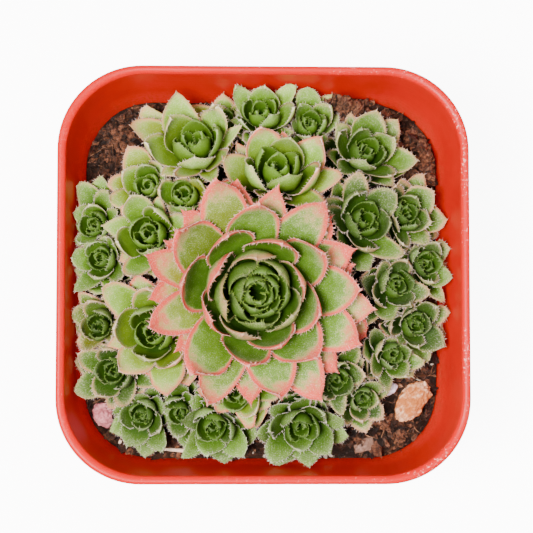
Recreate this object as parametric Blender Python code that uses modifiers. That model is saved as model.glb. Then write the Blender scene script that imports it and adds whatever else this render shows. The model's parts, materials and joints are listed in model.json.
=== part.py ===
"""A square plastic pot of rosularia: one large rosette on a mound of soil, with its ring of offsets.

The origin is under the middle of the pot, on the surface that it stands on, and +Z is up.
"""
import math

import bmesh
import bpy
from mathutils import Matrix, Vector, noise

MM = 0.001
GAP = 0.3 * MM

# The pot, as outer sizes. Insets are measured inward from the outer edge of the rim.
POT_WIDTH = 90.0 * MM
POT_DEPTH = 91.2 * MM
POT_HEIGHT = 75.0 * MM
RIM_CORNER = 18.5 * MM
CORNER_SHRINK = 0.6
WALL_TAPER = 0.17
RIM_INSET = 0.35 * MM
RIM_BAND = 1.6 * MM
RIM_ROUND = 0.8 * MM
COLLAR_INSET = 0.5 * MM
COLLAR_HEIGHT = 14.0 * MM
COLLAR_STEP = 0.8 * MM
WALL_INSET = 1.9 * MM
WALL_THICKNESS = 1.2 * MM
FLOOR_THICKNESS = 2.0 * MM
BASE_CHAMFER = 0.8 * MM
DRAIN_DIAMETER = 7.0 * MM
DRAIN_OFFSET = 15.0 * MM
POT_CORNER_STEPS = 5

# The soil is a low dome that falls away to the pot's corners, with two heaps beside the wall.
SOIL_EDGE_HEIGHT = 56.0 * MM
SOIL_MOUND = 13.5 * MM
SOIL_MOUND_RADIUS = 46.0 * MM
SOIL_CENTRE = (-1.0 * MM, -4.0 * MM)
SOIL_ROUGHNESS = 0.9 * MM
SOIL_RINGS = (1.0, 0.93, 0.86, 0.76, 0.64, 0.48, 0.25)
SOIL_CORNER_STEPS = 4
SOIL_SIDE_POINTS = 4
# Each heap: x, y, radius, height
SOIL_HEAPS = (
    (19.5 * MM, 41.0 * MM, 8.5 * MM, 8.0 * MM),
    (38.0 * MM, 26.0 * MM, 10.0 * MM, 3.0 * MM),
)

# The rosettes. A head's reach is the radius of the whole rosette.
GOLDEN_ANGLE = math.radians(137.508)
HEAD_FLATNESS = 0.42
GROWING_POINT = 0.45
OVERHANG = 8.0 * MM
HEAD_CLEARANCE = 0.8 * MM
MAIN_CLEARANCE = 1.4 * MM
NEIGHBOUR_GAP = 0.16 * MM
FIT_SHARPNESS = 14
LEAST_SHARE = 0.36
LEAST_SHARE_OF_MAIN = 0.15
STEM_DEPTH = 5.0 * MM
CORE_RADIUS = 0.17
LEAF_TROUGH = 0.10
LEAF_WIDEST = 0.62
LEAF_BASE = 0.28
LEAF_SHOULDER = 2.2
LEAF_BLUNTNESS = 0.72
FEW_LEAVES = 10
STATIONS_SMALL = (0.0, 0.70)
STATIONS_LARGE = (0.0, 0.45, 0.80)
STATIONS_MAIN = (0.0, 0.36, 0.66, 0.87)
MAIN_THICKNESS = 1.4 * MM
OFFSET_THICKNESS = 1.15 * MM

# The leaves from the outermost (0) to the innermost (1): place, start and end angle above the
# horizontal in degrees, then length and width as parts of the reach.
LEAF_RULE = (
    (0.00, 2, 30, 0.98, 0.44),
    (0.25, 6, 42, 0.94, 0.44),
    (0.45, 10, 64, 0.84, 0.42),
    (0.58, 12, 94, 0.72, 0.39),
    (0.72, 18, 116, 0.62, 0.35),
    (0.85, 32, 116, 0.46, 0.28),
    (1.00, 55, 112, 0.27, 0.16),
)

# Each rosette: name, centre x and y, reach, lean, the way that it leans, leaves, the direction
# of its outermost leaf, and how much wider than the large rosette's its leaves are for their
# length. Sizes are in mm and angles in degrees, counted from +X towards +Y.
HEADS = (
    ("rosette_main", -2.7, -4.5, 30.5, 12, -40, 48, 117.2, 1.00),
    ("offset_01", -15.8, 30.4, 21.0, 32, 110, 13, 180, 1.30),
    ("offset_02", -8.4, 35.4, 10.5, 30, 95, 10, 60, 1.45),
    ("offset_03", -0.8, 37.2, 16.4, 30, 95, 13, 344, 1.30),
    ("offset_04", 10.4, 34.6, 13.5, 25, 80, 10, 250, 1.45),
    ("offset_05", 23.4, 28.4, 17.0, 28, 55, 13, 150, 1.30),
    ("offset_06", 3.2, 24.6, 22.0, 30, 85, 13, 20, 1.30),
    ("offset_07", -17.8, 17.4, 15.5, 15, 130, 10, 300, 1.45),
    ("offset_08", -26.0, 8.4, 17.5, 16, 165, 13, 100, 1.30),
    ("offset_09", -24.7, -13.2, 20.0, 14, 200, 13, 215, 1.30),
    ("offset_10", -37.8, 11.0, 12.0, 20, 170, 10, 90, 1.45),
    ("offset_11", -36.4, 3.6, 12.5, 22, 180, 10, 250, 1.45),
    ("offset_12", -33.6, -21.6, 13.5, 24, 205, 10, 90, 1.45),
    ("offset_13", -27.2, -31.4, 11.5, 26, 230, 10, 40, 1.45),
    ("offset_14", -18.4, -31.2, 10.5, 26, 250, 10, 200, 1.45),
    ("offset_15", -11.0, -34.4, 14.0, 30, 265, 10, 110, 1.45),
    ("offset_16", -6.2, -27.0, 14.5, 22, 260, 10, 300, 1.45),
    ("offset_17", 8.2, -34.6, 14.5, 30, 280, 13, 30, 1.30),
    ("offset_18", 16.3, -23.8, 12.5, 22, 310, 10, 80, 1.45),
    ("offset_19", 22.6, -28.0, 11.0, 26, 320, 10, 200, 1.45),
    ("offset_20", 29.2, -18.0, 11.0, 26, 330, 10, 10, 1.45),
    ("offset_21", 34.2, -11.2, 12.5, 26, 340, 10, 120, 1.45),
    ("offset_22", 36.4, 2.6, 12.5, 22, 5, 10, 270, 1.45),
    ("offset_23", 29.8, -2.4, 13.5, 20, 355, 10, 60, 1.45),
    ("offset_24", 32.4, 13.8, 14.0, 26, 20, 10, 330, 1.45),
    ("offset_25", 22.8, 12.0, 18.0, 22, 30, 13, 250, 1.30),
    ("offset_26", -26.0, 20.0, 13.5, 24, 140, 10, 0, 1.45),
    ("offset_27", -36.8, -11.4, 12.5, 22, 190, 10, 180, 1.45),
)

# Loose pieces on the soil: name, x, y, half sizes along its own three axes, turn in degrees
# and how far it is sunk, in mm.
STONES = (
    ("pumice_stone", 34.0, -27.4, (5.2, 2.9, 2.5), 52, 1.0),
    ("pink_stone", -35.2, -30.6, (2.5, 2.7, 2.2), 20, 0.7),
    ("lilac_pebble", 28.6, -24.8, (1.7, 1.3, 1.1), 30, 0.3),
)
STONE_ROUGHNESS = 0.16
STALK_ENDS = ((-32.0 * MM, -36.7 * MM), (-12.0 * MM, -38.8 * MM))
STALK_DIAMETER = 1.0 * MM
CHIP_PLACE = (23.0 * MM, -37.4 * MM)
CHIP_SIZE = (4.6 * MM, 2.8 * MM, 1.0 * MM)

# Colours as red, green and blue, then roughness
RED_PLASTIC = (0.70, 0.055, 0.018), 0.36
DARK_SOIL = (0.085, 0.035, 0.018), 0.95
MAIN_GREEN = (0.26, 0.36, 0.12), 0.60
OFFSET_GREEN = (0.17, 0.30, 0.08), 0.62
PUMICE = (0.72, 0.50, 0.36), 0.90
PINK_STONE = (0.62, 0.36, 0.36), 0.75
LILAC_STONE = (0.62, 0.48, 0.60), 0.70
STRAW = (0.72, 0.52, 0.38), 0.80
BARK = (0.24, 0.12, 0.07), 0.90


def new_material(name, look):
    colour, roughness = look
    material = bpy.data.materials.new(name)
    material.use_nodes = True
    shader = material.node_tree.nodes["Principled BSDF"]
    shader.inputs["Base Color"].default_value = (*colour, 1.0)
    shader.inputs["Roughness"].default_value = roughness
    shader.inputs["Metallic"].default_value = 0.0
    material.diffuse_color = (*colour, 1.0)
    return material


def new_object(name, mesh, collection, material=None):
    piece = bpy.data.objects.new(name, mesh)
    collection.objects.link(piece)
    if material:
        mesh.materials.append(material)
    return piece


def mesh_from(bm, name):
    mesh = bpy.data.meshes.new(name)
    bm.to_mesh(mesh)
    bm.free()
    return mesh


def as_cutter(piece):
    piece.hide_render = True
    piece.display_type = "WIRE"


def boolean(piece, operation, collection, solver="EXACT"):
    """Join or cut the piece with a whole collection, apply it and remove that collection."""
    modifier = piece.modifiers.new(operation.title(), "BOOLEAN")
    modifier.operation = operation
    modifier.operand_type = "COLLECTION"
    modifier.collection = collection
    modifier.solver = solver
    bpy.context.view_layer.update()
    depsgraph = bpy.context.evaluated_depsgraph_get()
    result = bpy.data.meshes.new_from_object(piece.evaluated_get(depsgraph))
    piece.modifiers.clear()
    piece.data = largest_body(result)
    for operand in list(collection.objects):
        bpy.data.objects.remove(operand)
    bpy.data.collections.remove(collection)


def largest_body(mesh):
    """Keep a mesh's largest body, so that no sealed hollow or loose scrap stays behind."""
    bm = bmesh.new()
    bm.from_mesh(mesh)
    waiting = set(bm.verts)
    bodies = []
    while waiting:
        body = {waiting.pop()}
        edge = list(body)
        while edge:
            found = {link.other_vert(vertex) for vertex in edge for link in vertex.link_edges}
            edge = list(found - body)
            body |= found
        waiting -= body
        bodies.append(body)
    bodies.sort(key=len)
    scraps = [vertex for body in bodies[:-1] for vertex in body]
    bmesh.ops.delete(bm, geom=scraps, context="VERTS")
    bm.to_mesh(mesh)
    bm.free()
    return mesh


def helper_collection(name):
    collection = bpy.data.collections.new(name)
    bpy.context.scene.collection.children.link(collection)
    return collection


def rounded_square(half_x, half_y, corner, corner_steps, side_points=0):
    """Points round a square with rounded corners, counter-clockwise from above."""
    points = []
    for quarter in range(4):
        turn = quarter * math.pi / 2
        middle_x = (half_x - corner) * (1 if quarter in (0, 3) else -1)
        middle_y = (half_y - corner) * (1 if quarter in (0, 1) else -1)
        for step in range(corner_steps + 1):
            angle = turn + math.pi / 2 * step / corner_steps
            points.append(
                (middle_x + corner * math.cos(angle), middle_y + corner * math.sin(angle))
            )
        along = half_y if quarter in (1, 3) else half_x
        reach = 2 * (along - corner)
        last_x, last_y = points[-1]
        for step in range(1, side_points + 1):
            moved = reach * step / (side_points + 1)
            points.append(
                (
                    last_x - moved * math.sin(turn + math.pi / 2),
                    last_y + moved * math.cos(turn + math.pi / 2),
                )
            )
    return points


def loft(bm, loops):
    """Skin the loops in turn, each a closed ring of as many vertices."""
    for lower, upper in zip(loops, loops[1:]):
        for index, vertex in enumerate(lower):
            following = (index + 1) % len(lower)
            bm.faces.new((vertex, lower[following], upper[following], upper[index]))


def pot_loop(bm, inset, height):
    corner = RIM_CORNER - CORNER_SHRINK * inset
    outline = rounded_square(
        POT_WIDTH / 2 - inset, POT_DEPTH / 2 - inset, corner, POT_CORNER_STEPS
    )
    return [bm.verts.new((x, y, height)) for x, y in outline]


def inner_inset(height):
    """How far the pot's inner wall stands in from the rim's outer edge at a height."""
    return WALL_INSET + WALL_TAPER * (POT_HEIGHT - RIM_ROUND - height)


def build_pot(collection):
    collar_foot = POT_HEIGHT - COLLAR_HEIGHT
    collar_inset = COLLAR_INSET + WALL_TAPER * (COLLAR_HEIGHT - RIM_ROUND)
    wall_top = inner_inset(collar_foot) - WALL_THICKNESS
    wall_foot = wall_top + WALL_TAPER * (collar_foot - BASE_CHAMFER)
    profile = (
        (wall_foot + BASE_CHAMFER, 0.0),
        (wall_foot, BASE_CHAMFER),
        (max(wall_top, collar_inset + COLLAR_STEP), collar_foot),
        (collar_inset, collar_foot + COLLAR_STEP / 2),
        (COLLAR_INSET, POT_HEIGHT - 2.4 * RIM_ROUND),
        (0.0, POT_HEIGHT - 1.8 * RIM_ROUND),
        (0.0, POT_HEIGHT - RIM_ROUND / 2),
        (RIM_INSET, POT_HEIGHT),
        (RIM_BAND, POT_HEIGHT),
        (WALL_INSET, POT_HEIGHT - RIM_ROUND),
        (inner_inset(FLOOR_THICKNESS + BASE_CHAMFER), FLOOR_THICKNESS + BASE_CHAMFER),
        (inner_inset(FLOOR_THICKNESS) + BASE_CHAMFER, FLOOR_THICKNESS),
    )
    bm = bmesh.new()
    loops = [pot_loop(bm, inset, height) for inset, height in profile]
    loft(bm, loops)
    bm.faces.new(list(reversed(loops[0])))
    bm.faces.new(loops[-1])
    bmesh.ops.recalc_face_normals(bm, faces=bm.faces)
    pot = new_object("pot", mesh_from(bm, "pot"), collection, new_material("red plastic", RED_PLASTIC))

    drains = helper_collection("drain holes")
    for across in (-1, 1):
        for along in (-1, 1):
            bpy.ops.mesh.primitive_cylinder_add(
                vertices=20,
                radius=DRAIN_DIAMETER / 2,
                depth=4 * FLOOR_THICKNESS,
                location=(across * DRAIN_OFFSET, along * DRAIN_OFFSET, 0.0),
            )
            drain = bpy.context.object
            for holder in list(drain.users_collection):
                holder.objects.unlink(drain)
            drains.objects.link(drain)
            as_cutter(drain)
    boolean(pot, "DIFFERENCE", drains)
    pot.data.shade_smooth()
    pot.data.set_sharp_from_angle(angle=math.radians(30))
    return pot


def mound(x, y):
    """The height of the soil's dome, without its heaps."""
    away = math.hypot(x - SOIL_CENTRE[0], y - SOIL_CENTRE[1]) / SOIL_MOUND_RADIUS
    return SOIL_EDGE_HEIGHT + SOIL_MOUND * max(0.0, 1 - away * away)


def heaped(x, y):
    """How much the heaps add to the dome."""
    added = 0.0
    for heap_x, heap_y, radius, height in SOIL_HEAPS:
        away = math.hypot(x - heap_x, y - heap_y) / radius
        if away < 1:
            added = max(added, height * (1 - away * away) ** 1.5)
    return added


def soil_surface(x, y):
    roughness = abs(noise.noise(Vector((x, y, 0.0)) / (3.1 * MM))) * SOIL_ROUGHNESS
    return mound(x, y) + heaped(x, y) - roughness


def build_soil(collection):
    bm = bmesh.new()
    loops = []
    for height in (FLOOR_THICKNESS + BASE_CHAMFER + GAP, SOIL_EDGE_HEIGHT / 2):
        inset = inner_inset(height) + GAP
        outline = rounded_square(
            POT_WIDTH / 2 - inset,
            POT_DEPTH / 2 - inset,
            RIM_CORNER - CORNER_SHRINK * inset,
            SOIL_CORNER_STEPS,
            SOIL_SIDE_POINTS,
        )
        loops.append([bm.verts.new((x, y, height)) for x, y in outline])
    for scale in SOIL_RINGS:
        inset = inner_inset(SOIL_EDGE_HEIGHT) + 1.5 * GAP
        outline = rounded_square(
            POT_WIDTH / 2 - inset,
            POT_DEPTH / 2 - inset,
            RIM_CORNER - CORNER_SHRINK * inset,
            SOIL_CORNER_STEPS,
            SOIL_SIDE_POINTS,
        )
        loops.append(
            [bm.verts.new((x * scale, y * scale, soil_surface(x * scale, y * scale))) for x, y in outline]
        )
    loft(bm, loops)
    bm.faces.new(list(reversed(loops[0])))
    bm.faces.new(loops[-1])
    bmesh.ops.triangulate(bm, faces=[face for face in bm.faces if len(face.verts) == 4])
    bmesh.ops.recalc_face_normals(bm, faces=bm.faces)
    return new_object("soil", mesh_from(bm, "soil"), collection, new_material("soil", DARK_SOIL))


def rule_at(place):
    """The leaf rule between its rows, for a leaf that far in."""
    for before, after in zip(LEAF_RULE, LEAF_RULE[1:]):
        if place <= after[0]:
            part = (place - before[0]) / (after[0] - before[0])
            return [a + (b - a) * part for a, b in zip(before[1:], after[1:])]
    return list(LEAF_RULE[-1][1:])


class Head:
    """One rosette: where it stands, which way it faces and how far it may spread."""

    def __init__(self, row):
        name, x, y, reach, lean, lean_way, leaves, first_leaf, broad = row
        self.name = name
        self.reach = reach * MM
        self.leaves = leaves
        self.broad = broad
        self.first_leaf = math.radians(first_leaf)
        self.is_main = name == "rosette_main"
        way = math.radians(lean_way)
        tilt = math.radians(lean)
        self.axis = Vector(
            (math.sin(tilt) * math.cos(way), math.sin(tilt) * math.sin(way), math.cos(tilt))
        )
        turned = Vector((0, 0, 1)).rotation_difference(self.axis)
        self.turn = turned.to_matrix()
        clearance = MAIN_CLEARANCE if self.is_main else HEAD_CLEARANCE
        self.rise = HEAD_FLATNESS * self.reach + clearance
        raised = self.rise + (0.0 if self.is_main else GROWING_POINT * self.reach)
        foot_x = x * MM - self.axis.x * raised
        foot_y = y * MM - self.axis.y * raised
        self.foot = Vector((foot_x, foot_y, mound(foot_x, foot_y)))
        self.centre = self.foot + self.axis * self.rise
        self.planes = []

    def extent(self, direction):
        """The reach in one direction of the flat ball that holds the whole rosette."""
        up = direction.dot(self.axis)
        across = math.sqrt(max(0.0, 1 - up * up))
        return self.reach / math.sqrt(across**2 + (up / HEAD_FLATNESS) ** 2)

    def fit(self, point):
        """Draw a point in towards the rosette's centre where there is less room that way."""
        offset = point - self.centre
        distance = offset.length
        if distance < 1e-9:
            return point
        direction = offset / distance
        reach = max(distance, self.extent(direction))
        crowding = 0.0
        for normal, limit in self.planes:
            facing = direction.dot(normal)
            if facing > 0:
                crowding = max(crowding, facing * reach / limit)
        kept = (1 + crowding**FIT_SHARPNESS) ** (-1 / FIT_SHARPNESS)
        return self.centre + offset * kept


def wall_planes():
    """Flat planes just inside the pot's wall: four sides, and three across each corner."""
    planes = []
    level = SOIL_EDGE_HEIGHT
    inset = inner_inset(level) + GAP
    corner = RIM_CORNER - CORNER_SHRINK * inset
    half_x = POT_WIDTH / 2 - inset
    half_y = POT_DEPTH / 2 - inset
    for step in range(16):
        angle = step * math.pi / 8
        flat = Vector((math.cos(angle), math.sin(angle), 0.0))
        support = (
            (half_x - corner) * abs(flat.x) + (half_y - corner) * abs(flat.y) + corner
        )
        normal = Vector((flat.x, flat.y, -WALL_TAPER))
        size = normal.length
        planes.append((normal / size, (support - WALL_TAPER * level) / size))
    return planes


def set_room(heads):
    """Give each rosette the planes that part it from the wall, the soil and its neighbours."""
    walls = wall_planes()
    step = 0.1 * MM
    for head in heads:
        for normal, limit in walls:
            head.planes.append((normal, limit - normal.dot(head.centre)))
        x, y = head.foot.x, head.foot.y
        slope_x = (mound(x + step, y) - mound(x - step, y)) / (2 * step)
        slope_y = (mound(x, y + step) - mound(x, y - step)) / (2 * step)
        down = Vector((slope_x, slope_y, -1.0)).normalized()
        head.planes.append((down, down.dot(head.foot - head.centre) - GAP))
        for heap_x, heap_y, radius, height in SOIL_HEAPS:
            top = Vector((heap_x, heap_y, mound(heap_x, heap_y) + 0.3 * height))
            part_from(head, top, 0.85 * radius)
        for _, stone_x, stone_y, half_sizes, _, sunk in STONES:
            low = mound(stone_x * MM, stone_y * MM) + (half_sizes[2] - sunk) * MM
            part_from(head, Vector((stone_x * MM, stone_y * MM, low)), 1.1 * half_sizes[0] * MM)
        for other in heads:
            if other is not head:
                part_from(head, other.centre, other)


def part_from(head, centre, other):
    """Add the plane between a rosette and another one, or a round thing of that radius."""
    between = centre - head.centre
    distance = between.length
    normal = between / distance
    own = head.extent(normal)
    theirs = other.extent(-normal) if isinstance(other, Head) else other
    if own + theirs + 2 * MM < distance:
        return
    by_main = head.is_main or (isinstance(other, Head) and other.is_main)
    least = LEAST_SHARE_OF_MAIN if by_main else LEAST_SHARE
    limit = (distance**2 + own**2 - theirs**2) / (2 * distance)
    limit = min(max(limit, least * distance), (1 - least) * distance)
    # The large rosette lies over its neighbours, so their shared plane leans outward.
    leaned = between.copy()
    if by_main:
        leaned.z += -OVERHANG if head.is_main else OVERHANG
    leaned.normalize()
    head.planes.append((leaned, limit * normal.dot(leaned) - NEIGHBOUR_GAP))


def half_width(along):
    """A leaf's half width along its length: spoon-shaped, widest past the middle, blunt."""
    if along < LEAF_WIDEST:
        part = math.sin(math.pi / 2 * along / LEAF_WIDEST)
        return LEAF_BASE + (1 - LEAF_BASE) * part
    part = (along - LEAF_WIDEST) / (1 - LEAF_WIDEST)
    return (1 - part**LEAF_SHOULDER) ** LEAF_BLUNTNESS


def core_radius(head, place):
    return head.reach * CORE_RADIUS * (1 - 0.75 * place**1.4) + 0.3 * MM


def core_height(head):
    return head.reach * (0.31 if head.is_main else 0.40)


def leaf_point(head, number, along, across, side):
    """A point of a leaf: along from 0 at the root, across from -1 to 1, side 1 above, -1 below."""
    place = number / (head.leaves - 1)
    start, end, length, width = rule_at(place)
    length *= head.reach
    width *= head.reach * head.broad
    thickness = MAIN_THICKNESS if head.is_main else OFFSET_THICKNESS
    start, end = math.radians(start), math.radians(end)
    angle = start + (end - start) * along
    curl = end - start
    radius = 0.45 * core_radius(head, place) + length / curl * (math.sin(angle) - math.sin(start))
    height = (
        head.reach * 0.05
        + core_height(head) * place
        + length / curl * (math.cos(start) - math.cos(angle))
    )
    half = width / 2 * half_width(along)
    height += LEAF_TROUGH * half * across**2 * math.cos(angle)
    depth = thickness * (1 - 0.35 * along) * (1 - across**2) * 0.5 * side
    radius -= depth * math.sin(angle)
    height += depth * math.cos(angle)
    azimuth = head.first_leaf - GOLDEN_ANGLE * number
    swing = across * half / max(abs(radius), 0.9 * half, 0.1 * MM)
    local = Vector(
        (radius * math.cos(azimuth + swing), radius * math.sin(azimuth + swing), height)
    )
    world = head.centre + head.turn @ (local - Vector((0, 0, head.reach * 0.40)))
    return head.fit(world)


def build_leaf(head, number, collection):
    """A leaf as a closed blade, skinned over a few sections that are each a flat diamond."""
    stations = STATIONS_LARGE if head.leaves > FEW_LEAVES else STATIONS_SMALL
    if head.is_main:
        stations = STATIONS_MAIN
    columns = (-1, 0, 1)
    bm = bmesh.new()
    rings = []
    for along in stations:
        above = [bm.verts.new(leaf_point(head, number, along, s, 1)) for s in columns]
        below = [bm.verts.new(leaf_point(head, number, along, s, -1)) for s in columns[1:-1]]
        rings.append((above, [above[0], *below, above[-1]]))
    tip = bm.verts.new(leaf_point(head, number, 1.0, 0.0, 1))
    for (above, below), (next_above, next_below) in zip(rings, rings[1:]):
        for index in range(len(columns) - 1):
            for row, next_row, flip in ((above, next_above, False), (below, next_below, True)):
                near, far = row[index], row[index + 1]
                next_near, next_far = next_row[index], next_row[index + 1]
                if index < (len(columns) - 1) // 2:
                    faces = ((near, far, next_near), (far, next_far, next_near))
                else:
                    faces = ((near, far, next_far), (near, next_far, next_near))
                for face in faces:
                    bm.faces.new(tuple(reversed(face)) if flip else face)
    above, below = rings[-1]
    for index in range(len(columns) - 1):
        bm.faces.new((above[index], above[index + 1], tip))
        bm.faces.new((below[index + 1], below[index], tip))
    above, below = rings[0]
    bm.faces.new([*reversed(above), *below[1:-1]])
    bmesh.ops.triangulate(bm, faces=[face for face in bm.faces if len(face.verts) > 3])
    bmesh.ops.recalc_face_normals(bm, faces=bm.faces)
    new_object(f"{head.name} leaf {number}", mesh_from(bm, "leaf"), collection)


def stem_radius(head):
    return 0.6 * core_radius(head, 0.0) + 0.25 * MM


def build_head(head, collection, material):
    """The short stem with its growing point, and round it all the leaves, joined in one."""
    floor = -head.reach * 0.40 - (head.rise - 0.40 * head.reach) - STEM_DEPTH
    base = -head.reach * 0.40
    profile = [(0.0, base + core_height(head) + 0.06 * head.reach)]
    for place in ((0.8, 0.4, 0.0) if head.is_main else (0.7, 0.0)):
        profile.append((core_radius(head, place), base + core_height(head) * place + 0.03 * head.reach))
    profile.append((stem_radius(head), base - 0.02 * head.reach))
    profile.append((stem_radius(head), floor))
    profile.append((0.0, floor))
    outline = bpy.data.meshes.new(head.name)
    outline.from_pydata(
        [(radius, 0.0, height) for radius, height in profile],
        [(index, index + 1) for index in range(len(profile) - 1)],
        [],
    )
    rosette = new_object(head.name, outline, collection, material)
    rosette.matrix_world = Matrix.Translation(head.centre) @ head.turn.to_4x4()
    turned = rosette.modifiers.new("Turn", "SCREW")
    turned.steps = turned.render_steps = 10 if head.is_main else 6
    turned.use_merge_vertices = True
    turned.merge_threshold = 0.00001
    turned.use_smooth_shade = False

    leaves = helper_collection(f"{head.name} leaves")
    for number in range(head.leaves):
        build_leaf(head, number, leaves)
    boolean(rosette, "UNION", leaves)


def stem_hole(head, collection):
    """A plain round hole in the soil, a little wider and deeper than the stem."""
    depth = STEM_DEPTH + GAP + 6 * MM
    corner_radius = (stem_radius(head) + 1.2 * GAP) / math.cos(math.pi / 6)
    bpy.ops.mesh.primitive_cylinder_add(vertices=6, radius=corner_radius, depth=depth)
    hole = bpy.context.object
    for holder in list(hole.users_collection):
        holder.objects.unlink(hole)
    collection.objects.link(hole)
    middle = head.foot + head.axis * (depth / 2 - STEM_DEPTH - GAP)
    hole.matrix_world = Matrix.Translation(middle) @ head.turn.to_4x4()
    as_cutter(hole)


def stone_points(bm, half_sizes, seed, grown):
    for vertex in bm.verts:
        direction = vertex.co.normalized()
        bump = 1 + STONE_ROUGHNESS * noise.noise(direction * 1.6 + Vector((seed, 0.0, 0.0)))
        vertex.co = Vector(
            [direction[axis] * (half_sizes[axis] * MM * bump + grown) for axis in range(3)]
        )


def build_stone(row, number, collection, pockets, look):
    name, x, y, half_sizes, turn, sunk = row
    place = Vector((x * MM, y * MM, 0.0))
    place.z = mound(place.x, place.y) + (half_sizes[2] - sunk) * MM
    turned = Matrix.Translation(place) @ Matrix.Rotation(math.radians(turn), 4, "Z")
    for grown, holder in ((0.0, collection), (1.4 * GAP, pockets)):
        bm = bmesh.new()
        bmesh.ops.create_icosphere(bm, subdivisions=2, radius=1.0)
        stone_points(bm, half_sizes, number, grown)
        if holder is collection:
            stone = new_object(name, mesh_from(bm, name), collection, new_material(name, look))
            stone.matrix_world = turned
        else:
            pocket = new_object(f"{name} pocket", mesh_from(bm, "pocket"), pockets)
            pocket.matrix_world = turned
            as_cutter(pocket)


def build_stalk(collection, pockets, look):
    """A dry stalk that lies along the front wall, in a shallow groove of the soil."""
    for grown in (0.0, 1.2 * GAP):
        curve = bpy.data.curves.new("dry_stalk", "CURVE")
        curve.dimensions = "3D"
        curve.bevel_depth = STALK_DIAMETER / 2 + grown
        curve.bevel_resolution = 1
        curve.use_fill_caps = True
        spline = curve.splines.new("POLY")
        spline.points.add(4)
        (x0, y0), (x1, y1) = STALK_ENDS
        for index, point in enumerate(spline.points):
            part = index / 4
            reach = (part - 0.5) * (1 + 4 * grown / (x1 - x0)) + 0.5
            x = x0 + (x1 - x0) * reach
            y = y0 + (y1 - y0) * reach - 0.5 * MM * math.sin(math.pi * part)
            point.co = (x, y, mound(x, y) + STALK_DIAMETER * 0.3, 1.0)
        tube = bpy.data.objects.new("tube", curve)
        collection.objects.link(tube)
        bpy.context.view_layer.update()
        mesh = bpy.data.meshes.new_from_object(
            tube.evaluated_get(bpy.context.evaluated_depsgraph_get())
        )
        bpy.data.objects.remove(tube)
        bm = bmesh.new()
        bm.from_mesh(mesh)
        bmesh.ops.remove_doubles(bm, verts=bm.verts, dist=0.000001)
        bmesh.ops.recalc_face_normals(bm, faces=bm.faces)
        mesh = mesh_from(bm, "dry_stalk")
        if grown:
            as_cutter(new_object("stalk groove", mesh, pockets))
        else:
            new_object("dry_stalk", mesh, collection, new_material("dry stalk", look))


def build_chip(collection, pockets, look):
    """A flat chip of bark lying at a slant by the front wall."""
    x, y = CHIP_PLACE
    place = Vector((x, y, mound(x, y) + 0.25 * CHIP_SIZE[2]))
    turned = Matrix.Translation(place) @ Matrix.Rotation(math.radians(14), 4, "Z")
    for grown, holder in ((0.0, collection), (2.4 * GAP, pockets)):
        bm = bmesh.new()
        bmesh.ops.create_cube(bm, size=1.0)
        for vertex in bm.verts:
            vertex.co = Vector([vertex.co[axis] * (CHIP_SIZE[axis] + grown) for axis in range(3)])
        bmesh.ops.bevel(
            bm, geom=[*bm.verts, *bm.edges], offset=0.25 * MM, segments=1, affect="EDGES"
        )
        if holder is collection:
            bark = new_material("bark", look)
            chip = new_object("bark_chip", mesh_from(bm, "bark_chip"), collection, bark)
        else:
            chip = new_object("chip pocket", mesh_from(bm, "pocket"), pockets)
            as_cutter(chip)
        chip.matrix_world = turned


def main():
    for old in list(bpy.data.objects):
        bpy.data.objects.remove(old)
    plant = bpy.data.collections.new("potted rosularia")
    bpy.context.scene.collection.children.link(plant)

    heads = [Head(row) for row in HEADS]
    set_room(heads)
    build_pot(plant)
    soil = build_soil(plant)
    hollows = helper_collection("hollows in the soil")
    for head in heads:
        stem_hole(head, hollows)
    for number, (row, look) in enumerate(zip(STONES, (PUMICE, PINK_STONE, LILAC_STONE))):
        build_stone(row, number, plant, hollows, look)
    build_stalk(plant, hollows, STRAW)
    build_chip(plant, hollows, BARK)
    boolean(soil, "DIFFERENCE", hollows)

    main_green = new_material("large rosette", MAIN_GREEN)
    offset_green = new_material("offsets", OFFSET_GREEN)
    for head in heads:
        build_head(head, plant, main_green if head.is_main else offset_green)


main()
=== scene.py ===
"""A potted rosularia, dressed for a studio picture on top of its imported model.

Run as a script, it builds the pot, the soil, the large rosette, its offsets, the loose pieces on
the soil and the stage. Lengths are in metres, and the origin is under the middle of the pot.
"""
import json
import math

import bmesh
import bpy
import numpy as np
from bpy.props import FloatProperty, FloatVectorProperty, IntProperty, PointerProperty
from mathutils import Matrix, Vector, noise

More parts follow.
